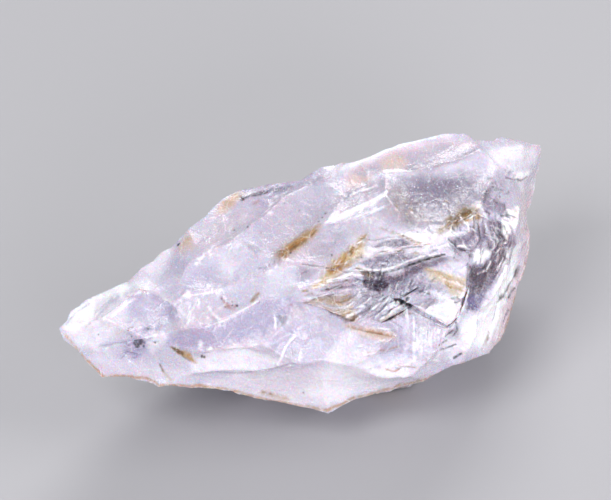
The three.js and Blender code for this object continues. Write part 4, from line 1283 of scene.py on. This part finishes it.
# Each is an (outline, feather, angle, pitch in pixels, height in mm).
RIPPLES = [
    (CRACK_SLAB, 6, 55, 5.5, 0.14),
    (BANDED, 8, 2, 4.0, 0.05),
    (HOLLOW, 5, 12, 4.5, 0.09),
    (RIGHT_BAND, 6, 15, 5.0, 0.1),
    (BUSY, 10, 118, 9.0, 0.06),
]

for height, reach, path in STEPS:
    relief += step(height, reach, path)
for ripple in RIPPLES:
    relief += teeth(*ripple)
print("rippled places:", len(RIPPLES))

# %% [markdown]
# ## Furrows and crests
# A dark line on a broken face is an open crack, and its dark is painted shade. A white one
# is a sharp edge that catches the light, and its white is a painted highlight. Painted
# alone they would look like ink, so the dark ones are also cut in a little, and the white
# ones stand up a little.

# %% Cut the dark marks and raise the white ones
DARK_FURROW = 0.05  # mm below the face
LIGHT_CREST = 0.04  # mm above it
FURROW_MARGIN, FURROW_FEATHER = 1, 2  # pixels

for pigment, strength, width, feather, path in LINES + TICKS:
    if pigment in ("black", "night", "smoke"):
        furrow = stroke(line_spots, path, width + FURROW_MARGIN, FURROW_FEATHER)
        relief -= DARK_FURROW * furrow * facing
    elif pigment == "white":
        crest = stroke(line_spots, path, width + FURROW_MARGIN, FURROW_FEATHER)
        relief += LIGHT_CREST * crest * facing
print("relief in mm:", relief.min().round(3), "to", relief.max().round(3))

# %% Move the points
REST_BAND = 0.3 * MM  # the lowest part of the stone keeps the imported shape, so it rests

cad_low, cad_high = np.array(low), np.array(high)
on_rest = places[:, 2] < cad_low[2] + REST_BAND
relief[on_rest] = 0
moved = np.clip(places + normals * (relief * MM)[:, None], cad_low, cad_high)
stone.data.vertices.foreach_set("co", moved.astype(np.float32).ravel())
stone.data.update()
print("points kept for resting:", int(on_rest.sum()))

# %% [markdown]
# ## Painting
# The whole stone starts as pale lilac quartz with drifting milky veils and violet clouds,
# on all sides. Then the washes, the narrow marks and the specks go on in that order. They
# could be painted with Blender's brushes by hand. Painted in code, each mark stays a line
# that can be read and changed.

# %% Paint that sets colour, clearness and glints
GROUND_COLOUR, GROUND_CLEARNESS, GROUND_GLINTS = "#DDD7E8", 0.3, 0.05


def linear_row(hex_colour):
    """A pigment's colour as a row of linear red, green and blue."""
    return np.array(linear(hex_colour)[:3])


tint = np.tile(linear_row(GROUND_COLOUR), (len(places), 1))
clear = np.full(len(places), GROUND_CLEARNESS)
glints = np.full(len(places), GROUND_GLINTS)


def paint(cover, pigment):
    """Mixes a pigment into the points by its cover."""
    global tint, clear, glints
    colour, clearness, glint = PIGMENTS[pigment]
    tint = tint + cover[:, None] * (linear_row(colour) - tint)
    clear = clear + cover * (clearness - clear)
    glints = glints + cover * (glint - glints)


# %% Veils and clouds on all sides
# Each drift is slow noise of one or two sizes in mm, with a seed after each size. It
# paints its pigment where it rises from the first number on, fully a span further up.
milk = slow_noise(places, 5.0, 11) + 0.5 * slow_noise(places, 1.8, 12)
violet_drift = slow_noise(places, 7.0, 13) + 0.4 * slow_noise(places, 2.4, 14)
rose_drift = slow_noise(places, 6.0, 15)
smoke_drift = slow_noise(places, 3.6, 18) + 0.4 * slow_noise(places, 1.2, 19)

paint(0.75 * rise(milk, 0.0, 0.5), "soft white")
paint(0.55 * rise(violet_drift, 0.15, 0.5), "violet")
paint(0.4 * rise(rose_drift, 0.15, 0.4), "rose")
paint(0.6 * hidden * rise(smoke_drift, 0.45, 0.25), "mauve")
print("milky share:", (milk > 0.25).mean().round(2))

# %% Washes, narrow marks and specks
SPECK_STRENGTH = 0.85
SPECK_FEATHER = 1.2  # pixels

# A wash is laid unevenly, as from a dragging brush, and a narrow mark breaks off here
# and there, as a crack does.
drag = 0.72 + 0.28 * np.clip(1 + 2.2 * slow_noise(places, 0.5, 20), 0, 1)
for pigment, strength, feather, outline in WASHES:
    paint(strength * drag * patch(wash_spots, outline, feather) * facing, pigment)
broken = np.clip(0.92 + 0.9 * slow_noise(places, 0.35, 21), 0, 1)
for pigment, strength, width, feather, path in LINES + TICKS:
    paint(strength * broken * stroke(line_spots, path, width, feather) * facing, pigment)
for x, y, size in SPECKS:
    away = np.hypot(line_spots[:, 0] - x, line_spots[:, 1] - y)
    spot = smooth_step((size / 2 + SPECK_FEATHER / 2 - away) / SPECK_FEATHER)
    paint(SPECK_STRENGTH * spot * facing, "night")
print("marks painted:", len(WASHES) + len(LINES) + len(TICKS) + len(SPECKS))

# %% Keep the paint on the points
colour_layer = stone.data.attributes.new("tint", "FLOAT_VECTOR", "POINT")
colour_layer.data.foreach_set("vector", np.clip(tint, 0, 1).astype(np.float32).ravel())
for name, values in (("clear", clear), ("glints", glints), ("far", hidden)):
    value_layer = stone.data.attributes.new(name, "FLOAT", "POINT")
    value_layer.data.foreach_set("value", np.clip(values, 0, 1).astype(np.float32))
print("mean clearness:", clear.mean().round(2))

# %% [markdown]
# ## Cloudy amethyst quartz
# Cloudy quartz lets light in, scatters it on fine veils and lets it out again some
# millimetres on. So the material is partly see-through and partly scattering, with a
# violet that deepens with the thickness of the stone. A plain glass would look like ice,
# and a plain opaque colour like plaster. Fine grain, healed cracks and glints are too
# small for the mesh and come from patterns in the material.

# %% Start the material
# Freshly broken quartz has a glassy to waxy skin over a milky, faintly glowing body.
quartz, quartz_tree, quartz_out = new_material("cloudy amethyst quartz")
coordinates = add_node(quartz_tree, "ShaderNodeTexCoord").outputs["Object"]
print("material:", quartz.name)

# %% Stored values and noise
def attribute(name, output):
    """A value that is stored on the points."""
    return add_node(quartz_tree, "ShaderNodeAttribute", {"attribute_name": name}).outputs[output]


def speckle(size_mm, detail=3.0, roughness=0.6):
    """A noise pattern from 0 to 1 with grains of the given size."""
    return add_node(
        quartz_tree,
        "ShaderNodeTexNoise",
        {"Scale": 1 / (size_mm * MM), "Detail": detail, "Roughness": roughness},
        {"Vector": coordinates},
    ).outputs["Fac"]


def stretch(value, start, end, low_out=0.0, high_out=1.0):
    """Maps a range of a value onto another, and holds its ends."""
    return add_node(
        quartz_tree,
        "ShaderNodeMapRange",
        {"From Min": start, "From Max": end, "To Min": low_out, "To Max": high_out},
        {"Value": value},
    ).outputs["Result"]


# %% Sums and layers
def combine(operation, first, second):
    """A sum, product or the like of two values or numbers, held between 0 and 1."""
    node = add_node(quartz_tree, "ShaderNodeMath", {"operation": operation, "use_clamp": True})
    for index, value in enumerate((first, second)):
        if isinstance(value, float):
            node.inputs[index].default_value = value
        else:
            quartz_tree.links.new(value, node.inputs[index])
    return node.outputs[0]


def blend(share, under, over, kind="MIX"):
    """Lays one colour over another by a share. Colours are hex codes or sockets."""
    node = add_node(quartz_tree, "ShaderNodeMix", {"data_type": "RGBA", "blend_type": kind})
    quartz_tree.links.new(share, node.inputs[0])
    for socket, colour in ((6, under), (7, over)):
        if isinstance(colour, str):
            node.inputs[socket].default_value = linear(colour)
        else:
            quartz_tree.links.new(colour, node.inputs[socket])
    return node.outputs[2]


# %% [markdown]
# ## Healed cracks and grain
# Old cracks that have grown shut run through the stone as thin wandering lines. The
# borders between the cells of a Voronoi pattern make such lines, but straight ones, so a
# noise bends the places first.

# %% Bent places for the cracks
BEND_MM = 0.6  # how far a place is moved
BEND_SIZE_MM = 0.8  # how quickly that changes from place to place

bends = add_node(
    quartz_tree,
    "ShaderNodeTexNoise",
    {"Scale": 1 / (BEND_SIZE_MM * MM), "Detail": 2.0},
    {"Vector": coordinates},
)
bent = add_node(
    quartz_tree,
    "ShaderNodeVectorMath",
    {"operation": "MULTIPLY_ADD", 1: (BEND_MM * MM,) * 3},
    {0: bends.outputs["Color"], 2: coordinates},
).outputs[0]
print("cracks bend by", BEND_MM, "mm")

# %% Cell borders, healed cracks and grain
CRACK_CELL_MM = 1.5  # from one healed crack to the next
GRAIN_MM = 0.3  # the sugary grain of the break
PATCH_MM = 2.2  # the patches in which healed cracks show


def cell_borders(size_mm):
    """How far each place is from the border of its cell, in cell sizes."""
    return add_node(
        quartz_tree,
        "ShaderNodeTexVoronoi",
        {"feature": "DISTANCE_TO_EDGE", "Scale": 1 / (size_mm * MM)},
        {"Vector": bent},
    ).outputs["Distance"]


healed = cell_borders(CRACK_CELL_MM)
grain = stretch(speckle(GRAIN_MM, 4.0, 0.7), 0.35, 0.65)
patchy = stretch(speckle(PATCH_MM, 3.0, 0.6), 0.45, 0.6)
print("nodes so far:", len(quartz_tree.nodes))

# %% [markdown]
# ## Glints and dust
# Where a chip lies just right it throws the light back as a white point. Chips that are
# small enough would need millions of triangles, so the points are painted highlights: a
# fine noise picks them, and the pigments say where they are many. Dark dust sits in the
# pits as sparse flecks.

# %% Glints and dust flecks
GLINT_MM = 0.16  # real glints are finer; this is as coarse as the render needs
GLINT_BOOST = 0.16  # how much a pigment's glints raise the noise
DUST_MM = 0.42  # from one possible fleck to the next; flecks of 0.1 mm
DUST_SHARE = 0.025  # of the cells hold a fleck
DUST_REACH = 0.3  # a fleck's radius, in cell sizes


def flecks(size_mm, share, reach):
    """Scattered round flecks: the cells of a pattern whose random value is under a share."""
    cells = add_node(
        quartz_tree,
        "ShaderNodeTexVoronoi",
        {"Scale": 1 / (size_mm * MM)},
        {"Vector": coordinates},
    )
    chosen = combine("LESS_THAN", cells.outputs["Color"], share)
    return combine("MULTIPLY", chosen, stretch(cells.outputs["Distance"], 0.1, reach, 1.0, 0.0))


glint_boost = combine("MULTIPLY", attribute("glints", "Fac"), GLINT_BOOST)
glint_share = stretch(combine("ADD", speckle(GLINT_MM, 2.0, 0.8), glint_boost), 0.69, 0.74)
dust_share = flecks(DUST_MM, DUST_SHARE, DUST_REACH)
print("nodes so far:", len(quartz_tree.nodes))

# %% [markdown]
# ## Seams of the far side
# The photograph shows only one side, so no mark is drawn on the other. Milky, rusty and
# dark seams from cell patterns, broken up into patches, give it what such a stone has.

# %% Three kinds of seams
MILKY_MM, MILKY_WIDTH = 3.1, 0.045  # from seam to seam; a seam's width in cell sizes
STAIN_MM, STAIN_WIDTH = 4.6, 0.06
DARK_MM, DARK_WIDTH = 5.7, 0.014
CRACK_PATCH_MM, STAIN_PATCH_MM = 5.0, 6.0

far = attribute("far", "Fac")
crack_patches = stretch(speckle(CRACK_PATCH_MM, 2.0, 0.5), 0.5, 0.56)
stain_patches = stretch(speckle(STAIN_PATCH_MM, 2.0, 0.5), 0.52, 0.6)


def seams(size_mm, width, patches):
    """Thin wandering seams on the far side, in some patches only."""
    seam = combine("MULTIPLY", stretch(cell_borders(size_mm), 0.0, width, 1.0, 0.0), patches)
    return combine("MULTIPLY", seam, far)


milky_seams = seams(MILKY_MM, MILKY_WIDTH, patchy)
stain_seams = seams(STAIN_MM, STAIN_WIDTH, stain_patches)
dark_seams = seams(DARK_MM, DARK_WIDTH, crack_patches)
print("nodes so far:", len(quartz_tree.nodes))

# %% [markdown]
# ## The layers of colour
# The painted colour is the ground. Grain shades it, healed cracks and seams lie over it,
# and glints and dust come last, in the order in which they lie on the real stone. The
# glints are painted highlights.

# %% Lay the colours over each other
GRAIN_SHADE = "#8E84A0"  # violet grey in the dips of the grain
HEALED_WHITE = "#FBF8FC"
SEAM_WHITE = "#FDFCFF"
SEAM_RUST = "#B5893F"  # limonite, the yellow brown of iron stains
SEAM_DARK = "#4A3A48"
# painted highlight on the glint points
GLINT_WHITE = "#FFFFFF"
DUST_GREY = "#6B5F70"

colour = attribute("tint", "Vector")
colour = blend(stretch(grain, 0.0, 1.0, 0.0, 0.11), colour, GRAIN_SHADE, "MULTIPLY")
healed_share = combine("MULTIPLY", stretch(healed, 0.0, 0.035, 0.5, 0.0), patchy)
colour = blend(healed_share, colour, HEALED_WHITE)
colour = blend(combine("MULTIPLY", milky_seams, 0.8), colour, SEAM_WHITE)
colour = blend(combine("MULTIPLY", stain_seams, 0.75), colour, SEAM_RUST)
colour = blend(combine("MULTIPLY", dark_seams, 0.85), colour, SEAM_DARK)
colour = blend(glint_share, colour, GLINT_WHITE)
colour = blend(combine("MULTIPLY", dust_share, 0.6), colour, DUST_GREY)
print("nodes so far:", len(quartz_tree.nodes))

# %% Clearness, gloss and fine roughness
GLASSY, WAXY = 0.14, 0.36  # roughness of the shiniest and the dullest grain
ROUGH_MM = 0.45
ROUGH_HEIGHT = 0.1 * MM

clearness = combine("SUBTRACT", attribute("clear", "Fac"), glint_share)
gloss = stretch(grain, 0.0, 1.0, GLASSY, WAXY)
rough_grain = combine("ADD", speckle(ROUGH_MM, 5.0, 0.65), stretch(healed, 0.0, 0.08, 0.25, 0.0))
bump = add_node(
    quartz_tree,
    "ShaderNodeBump",
    {"Strength": 0.5, "Distance": ROUGH_HEIGHT},
    {"Height": rough_grain},
).outputs["Normal"]
print("roughness from", GLASSY, "to", WAXY)

# %% [markdown]
# ## The quartz itself
# One shader holds the skin and the scattering body, and a Volume Absorption node holds
# the violet, which gets deeper the longer the light's way through the stone is. A
# scattering volume would be truer for the veils, but too noisy for a short render.

# %% Shader and violet depth
QUARTZ_IOR = 1.544
GLOW_SHARE = 0.5  # of the light that enters is scattered under the skin
GLOW_REACH = 0.8 * MM  # how far it spreads there
VIOLET_BODY = "#C4B4DC"
VIOLET_DENSITY = 40.0  # per metre

quartz_shader = add_node(
    quartz_tree,
    "ShaderNodeBsdfPrincipled",
    {"IOR": QUARTZ_IOR, "Subsurface Weight": GLOW_SHARE, "Subsurface Scale": GLOW_REACH},
    {
        "Base Color": colour,
        "Roughness": gloss,
        "Transmission Weight": clearness,
        "Normal": bump,
    },
)
quartz_tree.links.new(quartz_shader.outputs[0], quartz_out.inputs["Surface"])
violet_depth = add_node(
    quartz_tree,
    "ShaderNodeVolumeAbsorption",
    {"Color": linear(VIOLET_BODY), "Density": VIOLET_DENSITY},
)
quartz_tree.links.new(violet_depth.outputs[0], quartz_out.inputs["Volume"])
print("nodes in all:", len(quartz_tree.nodes))

# %% Dress the stone
SHARP_ANGLE = math.radians(26)  # a ridge that is sharper than this stays crisp

stone.data.materials.clear()
stone.data.materials.append(quartz)
pick_only(stone)
bpy.ops.object.shade_smooth_by_angle(angle=SHARP_ANGLE)
print("dressed faces:", len(stone.data.polygons))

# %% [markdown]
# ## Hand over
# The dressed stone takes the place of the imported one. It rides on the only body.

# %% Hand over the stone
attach(stone, "root")
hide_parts("amethyst_fragment")
